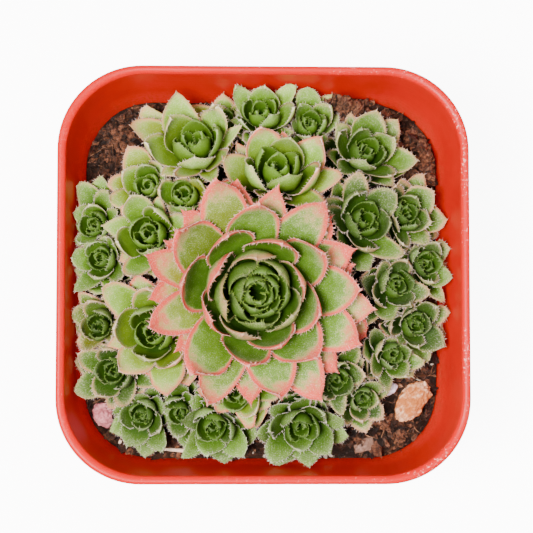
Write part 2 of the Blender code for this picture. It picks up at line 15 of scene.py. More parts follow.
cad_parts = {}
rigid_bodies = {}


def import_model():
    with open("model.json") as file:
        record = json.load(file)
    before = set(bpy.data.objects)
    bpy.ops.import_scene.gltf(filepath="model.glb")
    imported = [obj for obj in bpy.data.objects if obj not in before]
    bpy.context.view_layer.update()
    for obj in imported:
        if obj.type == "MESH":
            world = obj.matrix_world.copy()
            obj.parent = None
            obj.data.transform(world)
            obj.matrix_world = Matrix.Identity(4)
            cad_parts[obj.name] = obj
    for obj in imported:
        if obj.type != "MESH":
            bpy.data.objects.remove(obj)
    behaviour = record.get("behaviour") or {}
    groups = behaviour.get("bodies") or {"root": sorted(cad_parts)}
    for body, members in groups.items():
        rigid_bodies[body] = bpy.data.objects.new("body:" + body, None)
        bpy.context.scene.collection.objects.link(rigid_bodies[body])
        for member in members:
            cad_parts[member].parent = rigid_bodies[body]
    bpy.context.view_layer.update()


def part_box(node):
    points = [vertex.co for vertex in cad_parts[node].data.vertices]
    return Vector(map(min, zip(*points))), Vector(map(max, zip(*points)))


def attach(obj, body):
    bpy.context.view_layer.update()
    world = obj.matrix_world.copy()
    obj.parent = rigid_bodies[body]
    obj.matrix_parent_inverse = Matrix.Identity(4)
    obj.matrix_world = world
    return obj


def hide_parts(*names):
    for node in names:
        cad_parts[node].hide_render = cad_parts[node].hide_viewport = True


bl_info = {
    "name": "Potted rosularia",
    "version": (1, 0, 0),
    "blender": (4, 5, 0),
    "location": "3D View > Sidebar > Rosularia",
    "description": "Builds a square pot of rosularia with its offsets, its soil and a studio stage",
    "category": "Add Mesh",
}

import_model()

MM = 0.001
BODY = "root"

# The pot. Insets are measured inward from the outer edge of the rim.
POT_LOW, POT_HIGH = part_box("pot")
POT_WIDTH = POT_HIGH.x - POT_LOW.x
POT_DEPTH = POT_HIGH.y - POT_LOW.y
POT_HEIGHT = POT_HIGH.z
RIM_CORNER = 18.5 * MM
CORNER_SHRINK = 0.6
WALL_TAPER = 0.17
RIM_BAND = 1.6 * MM
RIM_ROUND = 0.8 * MM
COLLAR_INSET = 0.5 * MM
COLLAR_HEIGHT = 14.0 * MM
COLLAR_STEP = 0.8 * MM
WALL_INSET = 1.9 * MM
WALL_THICKNESS = 1.2 * MM
FLOOR_THICKNESS = 2.0 * MM
BASE_CHAMFER = 0.8 * MM
DRAIN_DIAMETER = 7.0 * MM
DRAIN_OFFSET = 15.0 * MM
POT_CORNER_STEPS = 22
POT_SIDE_POINTS = 6
RIM_STEPS = 6

# The soil is a low dome that falls away to the pot's corners, with two heaps beside the wall.
SOIL_EDGE_HEIGHT = 56.0 * MM
SOIL_MOUND = 13.5 * MM
SOIL_MOUND_RADIUS = 46.0 * MM
SOIL_CENTRE = (-1.0 * MM, -4.0 * MM)
SOIL_ROUGHNESS = 0.9 * MM
SOIL_GAP = 0.3 * MM
SOIL_RING_COUNT = 58
SOIL_CORNER_STEPS = 12
SOIL_SIDE_POINTS = 26
# Each heap: x, y, radius, height
SOIL_HEAPS = (
    (19.5 * MM, 41.0 * MM, 8.5 * MM, 8.0 * MM),
    (38.0 * MM, 26.0 * MM, 10.0 * MM, 3.0 * MM),
)
# Finer relief of the soil: the size of a lump and its height
SOIL_RELIEF = ((2.3 * MM, 0.9 * MM), (1.1 * MM, 0.55 * MM), (0.5 * MM, 0.25 * MM))

# The rosettes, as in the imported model. A head's reach is the radius of the whole rosette.
OVERHANG = 8.0 * MM
GOLDEN_ANGLE = math.radians(137.508)
HEAD_FLATNESS = 0.42
GROWING_POINT = 0.45
HEAD_CLEARANCE = 0.8 * MM
MAIN_CLEARANCE = 1.4 * MM
NEIGHBOUR_GAP = -0.4 * MM
FIT_SHARPNESS = 14
LEAST_SHARE = 0.36
LEAST_SHARE_OF_MAIN = 0.15
STEM_DEPTH = 5.0 * MM
CORE_RADIUS = 0.17
LEAF_TROUGH = 0.10
LEAF_WIDEST = 0.62
LEAF_BASE = 0.28
LEAF_SHOULDER = 2.1
LEAF_BLUNTNESS = 0.88
LEAF_CUSP = 0.055
LEAF_TIP = 1.03

# The leaves from the outermost (0) to the innermost (1): place, start and end angle above the
# horizontal in degrees, then length and width as parts of the reach.
LEAF_RULE = (
    (0.00, 2, 30, 0.98, 0.47),
    (0.25, 6, 42, 0.94, 0.47),
    (0.45, 10, 64, 0.84, 0.44),
    (0.58, 12, 94, 0.72, 0.39),
    (0.72, 18, 116, 0.62, 0.35),
    (0.85, 32, 116, 0.46, 0.28),
    (1.00, 55, 112, 0.27, 0.16),
)

# Each rosette: name, centre x and y, reach, lean, the way that it leans, leaves, the direction
# of its outermost leaf, how much wider than the large rosette's its leaves are for their
# length, then how fresh its green is and how strong its blush, from 0 to 1. Sizes are in mm
# and angles in degrees, counted from +X towards +Y.
HEADS = (
    ("rosette_main", -2.7, -4.5, 30.5, 12, -40, 60, 117.2, 1.00, 0.50, 1.10),
    ("offset_01", -15.8, 30.4, 21.0, 32, 110, 24, 180, 1.28, 0.90, 0.62),
    ("offset_02", -8.4, 35.4, 10.5, 30, 95, 17, 60, 1.38, 0.70, 0.55),
    ("offset_03", -0.8, 37.2, 16.4, 30, 95, 23, 344, 1.28, 0.80, 0.45),
    ("offset_04", 10.4, 34.6, 13.5, 25, 80, 21, 250, 1.38, 0.50, 0.40),
    ("offset_05", 23.4, 28.4, 16.2, 28, 55, 23, 150, 1.28, 0.34, 0.45),
    ("offset_06", 3.2, 24.6, 22.0, 30, 85, 26, 20, 1.28, 0.95, 0.80),
    ("offset_07", -17.8, 17.4, 15.5, 15, 130, 22, 300, 1.38, 0.85, 0.60),
    ("offset_08", -26.0, 8.4, 17.5, 16, 165, 24, 100, 1.28, 0.85, 0.60),
    ("offset_09", -24.7, -13.2, 20.0, 14, 200, 26, 215, 1.28, 0.80, 0.75),
    ("offset_10", -37.8, 11.0, 12.0, 20, 170, 21, 90, 1.38, 0.48, 0.40),
    ("offset_11", -36.4, 3.6, 12.5, 22, 180, 21, 250, 1.38, 0.46, 0.40),
    ("offset_12", -33.6, -21.6, 13.5, 24, 205, 21, 90, 1.38, 0.10, 0.50),
    ("offset_13", -27.2, -31.4, 11.5, 26, 230, 20, 40, 1.38, 0.24, 0.25),
    ("offset_14", -18.4, -31.2, 10.5, 26, 250, 18, 200, 1.38, 0.28, 0.25),
    ("offset_15", -11.0, -34.4, 14.0, 30, 265, 21, 110, 1.38, 0.28, 0.20),
    ("offset_16", -6.2, -27.0, 14.5, 22, 260, 22, 300, 1.38, 0.70, 0.75),
    ("offset_17", 8.2, -34.6, 14.5, 30, 280, 22, 30, 1.28, 0.30, 0.20),
    ("offset_18", 16.3, -23.8, 12.5, 22, 310, 20, 80, 1.38, 0.16, 0.50),
    ("offset_19", 22.4, -27.6, 9.4, 26, 320, 19, 200, 1.38, 0.12, 0.50),
    ("offset_20", 29.2, -18.0, 11.0, 26, 330, 20, 10, 1.38, 0.16, 0.45),
    ("offset_21", 34.2, -11.2, 12.5, 26, 340, 20, 120, 1.38, 0.12, 0.48),
    ("offset_22", 36.4, 2.6, 12.5, 22, 5, 21, 270, 1.38, 0.22, 0.45),
    ("offset_23", 29.8, -2.4, 13.5, 20, 355, 22, 60, 1.38, 0.12, 0.48),
    ("offset_24", 32.4, 13.8, 14.0, 26, 20, 22, 330, 1.38, 0.18, 0.50),
    ("offset_25", 22.8, 12.0, 18.0, 22, 30, 22, 250, 1.28, 0.24, 0.48),
    ("offset_26", -26.0, 20.0, 13.5, 24, 140, 22, 0, 1.38, 0.75, 0.60),
    ("offset_27", -36.8, -11.4, 12.5, 22, 190, 20, 180, 1.38, 0.12, 0.55),
)

# The offset that has withered leaves, and the way that they point
WITHERED_HEAD = "offset_07"
WITHERED_WAY = math.radians(40)

# How much one leaf may differ from the next, as a part of its size or in degrees
LENGTH_SPREAD = 0.05
WIDTH_SPREAD = 0.07
TURN_SPREAD = 3.0
RISE_SPREAD = 2.5

# Loose pieces on the soil: name, x, y, half sizes along its own three axes, turn in degrees
# and how far it is sunk, in mm.
STONES = (
    ("pumice_stone", 34.0, -27.4, (5.2, 2.9, 2.5), 52, 1.0),
    ("pink_stone", -35.2, -30.6, (2.5, 2.7, 2.2), 20, 0.7),
    ("lilac_pebble", 28.6, -24.8, (1.7, 1.3, 1.1), 30, 0.3),
)
STONE_ROUGHNESS = 0.16
STALK_ENDS = ((-32.0 * MM, -36.7 * MM), (-12.0 * MM, -38.8 * MM))
STALK_DIAMETER = 1.0 * MM
CHIP_PLACE = (23.0 * MM, -37.4 * MM)
CHIP_SIZE = (4.6 * MM, 2.8 * MM, 1.0 * MM)
CHIP_TURN = math.radians(14)

# The picture's viewpoint
CAMERA_PLACE = (-15.0 * MM, -30.0 * MM, 494.0 * MM)
CAMERA_AIM = (0.54 * MM, 1.5 * MM, 75.0 * MM)
CAMERA_LENS = 130.8
SENSOR_WIDTH = 36.0


def colour_property(name, description, colour):
    return FloatVectorProperty(
        name=name, description=description, default=colour, subtype="COLOR", min=0.0, max=1.0
    )


def length_property(name, description, length):
    return FloatProperty(
        name=name,
        description=description,
        default=length,
        min=0.0,
        precision=5,
        subtype="DISTANCE",
        unit="LENGTH",
    )


class PotSettings(bpy.types.PropertyGroup):
    """The finish of the pot"""

    plastic: colour_property("Plastic", "Colour of the moulded plastic", (0.50, 0.008, 0.002))
    rim: colour_property("Rim", "Colour of the bare rounded rim", (0.50, 0.004, 0.004))
    worn: colour_property("Worn edge", "Colour of the scuffs", (0.95, 0.42, 0.36))
    dust: colour_property("Dust", "Colour of the dried soil splashed up the wall", (0.30, 0.10, 0.04))
    scratch_depth: length_property("Scratch depth", "Depth of the fine scratches", 0.00004)


class SoilSettings(bpy.types.PropertyGroup):
    """The soil and what is mixed into it"""

    # The dark soil colour is the damp soil's own, and is also painted into the hollows between crumbs as painted
    # shade.
    dark: colour_property("Dark soil", "Colour of the damp hollows", (0.009, 0.004, 0.002))
    light: colour_property("Dry soil", "Colour of the dry crumbs", (0.34, 0.130, 0.065))
    fibre: colour_property("Fibre", "Colour of the coir fibres", (0.55, 0.26, 0.14))
    perlite: colour_property("Perlite", "Colour of the perlite and crusts", (0.72, 0.58, 0.47))
    crumbs: IntProperty(name="Crumbs", description="Loose crumbs on the soil", default=4600, min=0)
    crumb_size: length_property("Crumb size", "Radius of a middling crumb", 0.00060)
    fibres: IntProperty(name="Fibres", description="Loose fibres on the soil", default=900, min=0)
    fibre_width: length_property("Fibre width", "Diameter of a fibre", 0.00018)


class LeafSettings(bpy.types.PropertyGroup):
    """The leaves of every rosette"""

    main_thickness: length_property("Large leaves", "Thickness of the large rosette's leaves", 0.0014)
    offset_thickness: length_property("Small leaves", "Thickness of the offsets' leaves", 0.00115)
    hair_length: length_property("Hair length", "Length of the hairs on the margins", 0.00105)
    hair_width: length_property("Hair width", "Diameter of a hair at its root", 0.00019)
    hair_spacing: length_property("Hair spacing", "Room between the hairs of a margin", 0.00044)
    # The deep green is partly the leaves' own colour and partly painted shade at their roots and in the rosette's
    # middle.
    deep: colour_property("Deep green", "Colour at a leaf's root", (0.012, 0.038, 0.0015))
    fresh: colour_property("Fresh green", "Colour of a leaf's middle", (0.155, 0.330, 0.003))
    dull: colour_property("Dull green", "Colour of the shaded offsets", (0.026, 0.050, 0.004))
    pale: colour_property("Pale green", "Colour of the bloom towards the tip", (0.430, 0.540, 0.230))
    blush: colour_property("Blush", "Colour of the sunned tips", (0.600, 0.038, 0.036))
    fringe: colour_property("Fringe", "Colour of the hairs and the thin margin", (0.920, 0.820, 0.720))
    # Besides the ageing leaves, the gold also serves as painted glow of light through the large rosette's left-hand
    # leaves.
    gold: colour_property("Gold", "Colour of the ageing leaves", (0.360, 0.250, 0.008))


class LooseSettings(bpy.types.PropertyGroup):
    """The stones, the stalk and the chip of bark"""

    pumice: colour_property("Pumice", "Colour of the large stone", (0.78, 0.50, 0.32))
    rust: colour_property("Rust", "Colour of the stains on the large stone", (0.38, 0.110, 0.020))
    pink: colour_property("Pink stone", "Colour of the pink stone", (0.30, 0.065, 0.080))
    lilac: colour_property("Lilac pebble", "Colour of the small pebble", (0.66, 0.50, 0.62))
    straw: colour_property("Straw", "Colour of the dry stalk", (0.76, 0.53, 0.38))
    bark: colour_property("Bark", "Colour of the chip of bark", (0.11, 0.050, 0.030))


class StageSettings(bpy.types.PropertyGroup):
    """The floor, the lights and the camera"""

    floor: colour_property("Floor", "Colour of the floor", (0.90, 0.90, 0.90))
    floor_size: length_property("Floor size", "Side of the square floor", 6.0)
    glow: FloatProperty(name="Glow", description="Light that the floor shows the camera", default=9.0)
    key_power: FloatProperty(name="Key", description="Power of the main light in watts", default=30.0)
    fill_power: FloatProperty(name="Fill", description="Power of the fill light in watts", default=6.0)
    sky: FloatProperty(name="Sky", description="Strength of the even light from all round", default=0.10)


class Wiring:
    """Adds shader nodes to a tree and joins them, so that a material reads as a few lines."""

    def __init__(self, tree):
        self.tree = tree

    def put(self, socket, value):
        if isinstance(value, bpy.types.NodeSocket):
            self.tree.links.new(value, socket)
        elif hasattr(value, "__len__") and len(value) == 3 and socket.type == "RGBA":
            socket.default_value = (*value, 1.0)
        else:
            socket.default_value = value

    def node(self, kind, inputs=(), **settings):
        made = self.tree.nodes.new(kind)
        for name, value in settings.items():
            setattr(made, name, value)
        for name, value in dict(inputs).items():
            self.put(made.inputs[name], value)
        return made

    def math(self, operation, first, second=0.0, third=0.0, clamp=False):
        made = self.node("ShaderNodeMath", operation=operation, use_clamp=clamp)
        for socket, value in zip(made.inputs, (first, second, third)):
            self.put(socket, value)
        return made.outputs[0]

    def add(self, first, second):
        return self.math("ADD", first, second)

    def times(self, first, second):
        return self.math("MULTIPLY", first, second)

    def mask(self, value, start, end):
        """0 before start and 1 after end, with a smooth rise between them."""
        made = self.node("ShaderNodeMapRange", interpolation_type="SMOOTHSTEP")
        for name, given in (("Value", value), ("From Min", start), ("From Max", end)):
            self.put(made.inputs[name], given)
        return made.outputs["Result"]

    def mix(self, factor, first, second, blend="MIX"):
        made = self.node("ShaderNodeMix", data_type="RGBA", blend_type=blend)
        for socket, value in zip((made.inputs[0], made.inputs[6], made.inputs[7]), (factor, first, second)):
            self.put(socket, value)
        return made.outputs[2]

    def noise(self, place, size, detail=3.0, rough=0.5, stretch=(1, 1, 1)):
        """Noise from 0 to 1 with features of about that size, longer where stretch is larger."""
        scaled = self.node(
            "ShaderNodeVectorMath", {0: place, 1: [1 / (size * s) for s in stretch]}, operation="MULTIPLY"
        )
        made = self.node(
            "ShaderNodeTexNoise",
            {"Vector": scaled.outputs[0], "Scale": 1.0, "Detail": detail, "Roughness": rough},
        )
        return made.outputs["Fac"]

    def cells(self, place, size, feature="F1"):
        scaled = self.node(
            "ShaderNodeVectorMath", {0: place, 1: (1 / size, 1 / size, 1 / size)}, operation="MULTIPLY"
        )
        made = self.node("ShaderNodeTexVoronoi", {"Vector": scaled.outputs[0], "Scale": 1.0}, feature=feature)
        return made.outputs["Distance"]

    def place(self):
        """Where the shaded point is on the object, in metres."""
        return self.node("ShaderNodeTexCoord").outputs["Object"]


def effect(name, inputs, outputs, fill):
    """A node group that several materials share. Inputs and outputs are (name, kind) pairs."""
    if name in bpy.data.node_groups:
        return bpy.data.node_groups[name]
    tree = bpy.data.node_groups.new(name, "ShaderNodeTree")
    for socket, kind in inputs:
        tree.interface.new_socket(name=socket, in_out="INPUT", socket_type=f"NodeSocket{kind}")
    for socket, kind in outputs:
        tree.interface.new_socket(name=socket, in_out="OUTPUT", socket_type=f"NodeSocket{kind}")
    wiring = Wiring(tree)
    given = tree.nodes.new("NodeGroupInput").outputs
    made = tree.nodes.new("NodeGroupOutput").inputs
    for socket, value in fill(wiring, given).items():
        wiring.put(made[socket], value)
    return tree


def fill_speckle(wiring, given):
    """Two colours in patches and grains, with the relief that goes with them."""
    place = wiring.place()
    scaled = wiring.node("ShaderNodeVectorMath", {0: place}, operation="SCALE")
    wiring.put(scaled.inputs["Scale"], wiring.math("DIVIDE", 1.0, given["Size"]))
    coarse = wiring.node(
        "ShaderNodeTexNoise",
        {"Vector": scaled.outputs[0], "Scale": 0.35, "Detail": 4.0, "Roughness": 0.6},
    ).outputs["Fac"]
    fine = wiring.node(
        "ShaderNodeTexNoise",
        {"Vector": scaled.outputs[0], "Scale": 2.4, "Detail": 3.0, "Roughness": 0.7},
    ).outputs["Fac"]
    both = wiring.add(wiring.times(coarse, 0.6), wiring.times(fine, 0.4))
    low = wiring.math("SUBTRACT", 0.5, wiring.times(given["Softness"], 0.5))
    high = wiring.add(0.5, wiring.times(given["Softness"], 0.5))
    factor = wiring.mask(wiring.add(both, given["Balance"]), low, high)
    grain = wiring.math("MULTIPLY_ADD", fine, 0.5, 0.75)
    colour = wiring.mix(factor, given["First"], given["Second"])
    toned = wiring.node("ShaderNodeCombineColor", {"Red": grain, "Green": grain, "Blue": grain})
    colour = wiring.mix(1.0, colour, toned.outputs[0], "MULTIPLY")
    return {"Color": colour, "Height": both, "Mask": factor}


def speckle_group():
    return effect(
        "Speckle",
        (("First", "Color"), ("Second", "Color"), ("Size", "Float"), ("Softness", "Float"), ("Balance", "Float")),
        (("Color", "Color"), ("Height", "Float"), ("Mask", "Float")),
        fill_speckle,
    )


def fill_leaf(wiring, given):
    """A hairy, blushing leaf, from the values that its mesh carries."""
    leaf = wiring.node("ShaderNodeSeparateColor", {"Color": given["Leaf"]}).outputs
    tone = wiring.node("ShaderNodeSeparateColor", {"Color": given["Tone"]}).outputs
    along, margin, face = leaf["Red"], leaf["Green"], leaf["Blue"]
    fresh, blush, gold = tone["Red"], tone["Green"], tone["Blue"]
    place = wiring.place()
    patches = wiring.noise(place, 2.2 * MM, 3.0)
    streaks = wiring.noise(place, 0.7 * MM, 4.0, 0.6)
    down = wiring.noise(place, 0.24 * MM, 3.0, 0.7)
    wander = wiring.math("MULTIPLY_ADD", patches, 0.24, -0.12)
    reach = wiring.add(along, wander)

    green = wiring.mix(fresh, given["Dull"], given["Fresh"])
    # Towards the root the green deepens to the deep green: partly the leaf's own colour and partly painted shade where
    # the leaves overlap.
    colour = wiring.mix(wiring.mask(reach, 0.34, 0.94), given["Deep"], green)
    # The gold is the ageing leaves' colour, and on the large rosette's left side it is also painted glow of light
    # through the leaves.
    colour = wiring.mix(wiring.times(gold, wiring.mask(reach, 0.30, 0.75)), colour, given["Gold"])
    # The young leaves in the middle are plain green.
    grown = wiring.math("SUBTRACT", 1.0, wiring.mask(given["Place"], 0.60, 0.82))
    pallor = wiring.times(wiring.mask(reach, 0.62, 1.06), wiring.math("MULTIPLY_ADD", face, -0.15, 0.85))
    pallor = wiring.times(pallor, wiring.math("MULTIPLY_ADD", streaks, 0.9, 0.35))
    pallor = wiring.times(pallor, wiring.math("MULTIPLY_ADD", grown, 0.9, 0.1))
    pallor = wiring.times(pallor, wiring.math("MULTIPLY_ADD", fresh, 0.65, 0.10))
    # The middle leaves are darkened towards the deep green: partly their own deeper green and partly painted shade in
    # the rosette's closed middle.
    colour = wiring.mix(wiring.math("MULTIPLY_ADD", grown, -0.62, 0.62), colour, given["Deep"])
    pallor = wiring.times(pallor, wiring.math("MULTIPLY_ADD", gold, -0.7, 1.0))
    colour = wiring.mix(pallor, colour, given["Pale"])

    # The blush is a band along the margin that widens to cover the tip.
    band = wiring.math("MULTIPLY_ADD", wiring.mask(reach, 0.48, 0.98), 0.80, 0.10)
    near = wiring.math("SUBTRACT", 1.0, wiring.mask(wiring.add(margin, wiring.times(wander, 0.35)), 0.0, band))
    tip = wiring.mask(reach, 0.70, 1.0)
    sunned = wiring.math("MAXIMUM", wiring.times(near, wiring.mask(along, 0.25, 0.75)), wiring.times(tip, 0.9))
    sunned = wiring.times(wiring.times(sunned, blush), wiring.math("MULTIPLY_ADD", streaks, 0.9, 0.70))
    sunned = wiring.times(sunned, wiring.math("MULTIPLY_ADD", grown, 0.8, 0.2))
    # It is palest where it begins, and breaks up into fine dots.
    sunned = wiring.add(sunned, wiring.times(wiring.mask(sunned, 0.0, 0.3), wiring.math("MULTIPLY_ADD", down, 0.7, -0.42)))
    sunned = wiring.math("MINIMUM", sunned, 1.0)
    colour = wiring.mix(wiring.times(wiring.mask(sunned, 0.0, 0.5), 0.45), colour, given["Pale"])
    colour = wiring.mix(wiring.times(wiring.mask(sunned, 0.10, 0.85), 0.92), colour, given["Blush"])

    # The margin itself is thin and pale, and short down covers the whole leaf.
    edge = wiring.math("SUBTRACT", 1.0, wiring.mask(margin, 0.0, 0.045))
    edge = wiring.times(edge, wiring.math("MULTIPLY_ADD", fresh, 0.50, 0.15))
    edge = wiring.times(edge, wiring.mask(streaks, 0.30, 0.62))
    edge = wiring.times(edge, wiring.math("MULTIPLY_ADD", grown, 0.85, 0.15))
    colour = wiring.mix(wiring.times(edge, wiring.mask(along, 0.2, 0.5)), colour, given["Fringe"])
    fuzz = wiring.times(wiring.mask(down, 0.50, 0.72), wiring.math("MULTIPLY_ADD", wiring.mask(reach, 0.50, 0.98), 0.36, 0.03))
    fuzz = wiring.times(fuzz, wiring.math("MULTIPLY_ADD", grown, 0.85, 0.15))
    fuzz = wiring.times(fuzz, wiring.math("MULTIPLY_ADD", sunned, -0.15, 1.0))
    colour = wiring.mix(fuzz, colour, given["Fringe"])
    hair = wiring.mix(wiring.times(blush, 0.6), given["Fringe"], given["Blush"])
    hair = wiring.mix(wiring.math("MULTIPLY_ADD", grown, -0.9, 0.9), hair, given["Fresh"])
    colour = wiring.mix(given["Hair"], colour, hair)
    height = wiring.add(wiring.times(down, 0.5), wiring.times(streaks, 0.5))
    return {"Color": colour, "Height": height, "Roughness": wiring.math("MULTIPLY_ADD", down, 0.2, 0.50)}


LEAF_COLOURS = ("Deep", "Fresh", "Dull", "Pale", "Blush", "Fringe", "Gold")


def leaf_material(name, settings):
    material, wiring, shader = new_material(name)
    group = effect(
        "Leaf colouring",
        (("Leaf", "Color"), ("Place", "Float"), ("Tone", "Color"), ("Hair", "Float"), *((c, "Color") for c in LEAF_COLOURS)),
        (("Color", "Color"), ("Height", "Float"), ("Roughness", "Float")),
        fill_leaf,
    )
    leaf = wiring.node("ShaderNodeAttribute", attribute_name="leaf")
    tone = wiring.node("ShaderNodeAttribute", attribute_name="tone")
    colours = {c: tuple(getattr(settings, c.lower())) for c in LEAF_COLOURS}
    inputs = {"Leaf": leaf.outputs["Color"], "Place": leaf.outputs["Alpha"]}
    inputs.update({"Tone": tone.outputs["Color"], "Hair": tone.outputs["Alpha"]})
    made = wiring.tree.nodes.new("ShaderNodeGroup")
    made.node_tree = group
    for socket, value in {**inputs, **colours}.items():
        wiring.put(made.inputs[socket], value)
    finish(wiring, shader, made.outputs["Color"], made.outputs["Roughness"], made.outputs["Height"], 0.00016)
    shader.inputs["Subsurface Weight"].default_value = 0.08
    shader.inputs["Subsurface Radius"].default_value = (0.0012, 0.0010, 0.0004)
    shader.inputs["Specular IOR Level"].default_value = 0.08
    return material


def new_material(name):
    material = bpy.data.materials.new(name)
    material.use_nodes = True
    shader = material.node_tree.nodes["Principled BSDF"]
    return material, Wiring(material.node_tree), shader


def finish(wiring, shader, colour, roughness, height=None, depth=0.0001):
    """Feed a Principled shader, with the height given in parts of a depth in metres."""
    wiring.put(shader.inputs["Base Color"], colour)
    wiring.put(shader.inputs["Roughness"], roughness)
    if height is not None:
        bump = wiring.node("ShaderNodeBump", {"Height": height, "Strength": 1.0, "Distance": depth})
        wiring.put(shader.inputs["Normal"], bump.outputs["Normal"])


def speckled_material(name, first, second, size, softness, balance, roughness, depth):
    material, wiring, shader = new_material(name)
    made = wiring.tree.nodes.new("ShaderNodeGroup")
    made.node_tree = speckle_group()
    values = {"First": first, "Second": second, "Size": size, "Softness": softness, "Balance": balance}
    for socket, value in values.items():
        wiring.put(made.inputs[socket], tuple(value) if hasattr(value, "__len__") else value)
    finish(wiring, shader, made.outputs["Color"], roughness, made.outputs["Height"], depth)
    return material


class Pile:
    """Points, faces and point colours gathered for one mesh."""

    def __init__(self, *attributes):
        self.count = 0
        self.points = []
        self.faces = []
        self.values = {name: [] for name in attributes}

    def add(self, points, faces, **values):
        points = np.asarray(points, float).reshape(-1, 3)
        self.points.append(points)
        self.faces += [[int(corner) + self.count for corner in face] for face in faces]
        for name, stored in self.values.items():
            stored.append(np.broadcast_to(values[name], (len(points), 4)))
        self.count += len(points)

    def add_copies(self, shapes, faces, **values):
        """Many shapes of the same faces: shapes is copies x points x 3, values copies x points x 4."""
        copies, size = shapes.shape[:2]
        self.points.append(shapes.reshape(-1, 3))
        starts = self.count + size * np.arange(copies)
        moved = np.asarray(faces)[None] + starts[:, None, None]
        self.faces += moved.reshape(-1, moved.shape[-1]).tolist()
        for name, stored in self.values.items():
            stored.append(np.broadcast_to(values[name], (copies, size, 4)).reshape(-1, 4))
        self.count += copies * size

    def to_object(self, name, material):
        mesh = bpy.data.meshes.new(name)
        mesh.from_pydata(np.concatenate(self.points).tolist(), [], self.faces)
        for value_name, stored in self.values.items():
            attribute = mesh.color_attributes.new(value_name, "FLOAT_COLOR", "POINT")
            attribute.data.foreach_set("color", np.concatenate(stored).astype(np.float32).ravel())
        mesh.shade_smooth()
        mesh.materials.append(material)
        piece = bpy.data.objects.new(name, mesh)
        bpy.context.scene.collection.objects.link(piece)
        return piece


def keep(piece, slot, *nodes):
    """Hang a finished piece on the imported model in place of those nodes."""
    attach(piece, BODY)
    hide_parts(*nodes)


def rounded_square(half_x, half_y, corner, corner_steps, side_points=0):
    """Points round a square with rounded corners, counter-clockwise from above."""
    points = []
    for quarter in range(4):
        turn = quarter * math.pi / 2
        middle_x = (half_x - corner) * (1 if quarter in (0, 3) else -1)
        middle_y = (half_y - corner) * (1 if quarter in (0, 1) else -1)
        for step in range(corner_steps + 1):
            angle = turn + math.pi / 2 * step / corner_steps
            points.append((middle_x + corner * math.cos(angle), middle_y + corner * math.sin(angle)))
        reach = 2 * ((half_y if quarter in (1, 3) else half_x) - corner)
        last_x, last_y = points[-1]
        for step in range(1, side_points + 1):
            moved = reach * step / (side_points + 1)
            points.append((last_x - moved * math.cos(turn), last_y - moved * math.sin(turn)))
    return points


def pot_outline(inset, corner_steps, side_points):
    return rounded_square(
        POT_WIDTH / 2 - inset,
        POT_DEPTH / 2 - inset,
        RIM_CORNER - CORNER_SHRINK * inset,
        corner_steps,
        side_points,
    )


def inner_inset(height):
    """How far the pot's inner wall stands in from the rim's outer edge at a height."""
    return WALL_INSET + WALL_TAPER * (POT_HEIGHT - RIM_ROUND - height)


def skin(loops, close_start=True, close_end=True):
    """Faces over loops of as many points each, numbered one loop after the other."""
    size = len(loops[0])
    faces = []
    for row in range(len(loops) - 1):
        for index in range(size):
            after = (index + 1) % size
            start, end = row * size, (row + 1) * size
            faces.append((start + index, start + after, end + after, end + index))
    if close_start:
        faces.append(tuple(reversed(range(size))))
    if close_end:
        faces.append(tuple(range((len(loops) - 1) * size, len(loops) * size)))
    return faces


def pot_profile():
    """The pot's section from under its foot, up the outside, over the rim and down the inside."""
    collar_foot = POT_HEIGHT - COLLAR_HEIGHT
    collar_inset = COLLAR_INSET + WALL_TAPER * (COLLAR_HEIGHT - RIM_ROUND)
    wall_top = max(inner_inset(collar_foot) - WALL_THICKNESS, collar_inset + COLLAR_STEP)
    wall_foot = inner_inset(collar_foot) - WALL_THICKNESS + WALL_TAPER * (collar_foot - BASE_CHAMFER)
    profile = [(wall_foot + BASE_CHAMFER, 0.0), (wall_foot + 0.3 * BASE_CHAMFER, 0.2 * BASE_CHAMFER)]
    profile += [(wall_foot, BASE_CHAMFER), (wall_top, collar_foot)]
    profile += [(collar_inset + 0.2 * COLLAR_STEP, collar_foot + 0.1 * COLLAR_STEP)]
    profile += [(collar_inset, collar_foot + COLLAR_STEP / 2), (COLLAR_INSET, POT_HEIGHT - 2.4 * RIM_ROUND)]
    profile += [(0.1 * COLLAR_INSET, POT_HEIGHT - 1.9 * RIM_ROUND)]
    crown = RIM_BAND * 0.42
    for step in range(RIM_STEPS + 1):
        angle = math.pi / 2 * step / RIM_STEPS
        profile.append((crown * (1 - math.cos(angle)), POT_HEIGHT - RIM_ROUND * (1 - math.sin(angle))))
    for step in range(1, RIM_STEPS + 1):
        angle = math.pi / 2 * step / RIM_STEPS
        across = crown + (WALL_INSET - crown) * math.sin(angle)
        profile.append((across, POT_HEIGHT - RIM_ROUND * (1 - math.cos(angle))))
    for height in (60.0 * MM, 40.0 * MM, 20.0 * MM, FLOOR_THICKNESS + BASE_CHAMFER):
        profile.append((inner_inset(height), height))
    profile.append((inner_inset(FLOOR_THICKNESS) + BASE_CHAMFER, FLOOR_THICKNESS))
    return profile


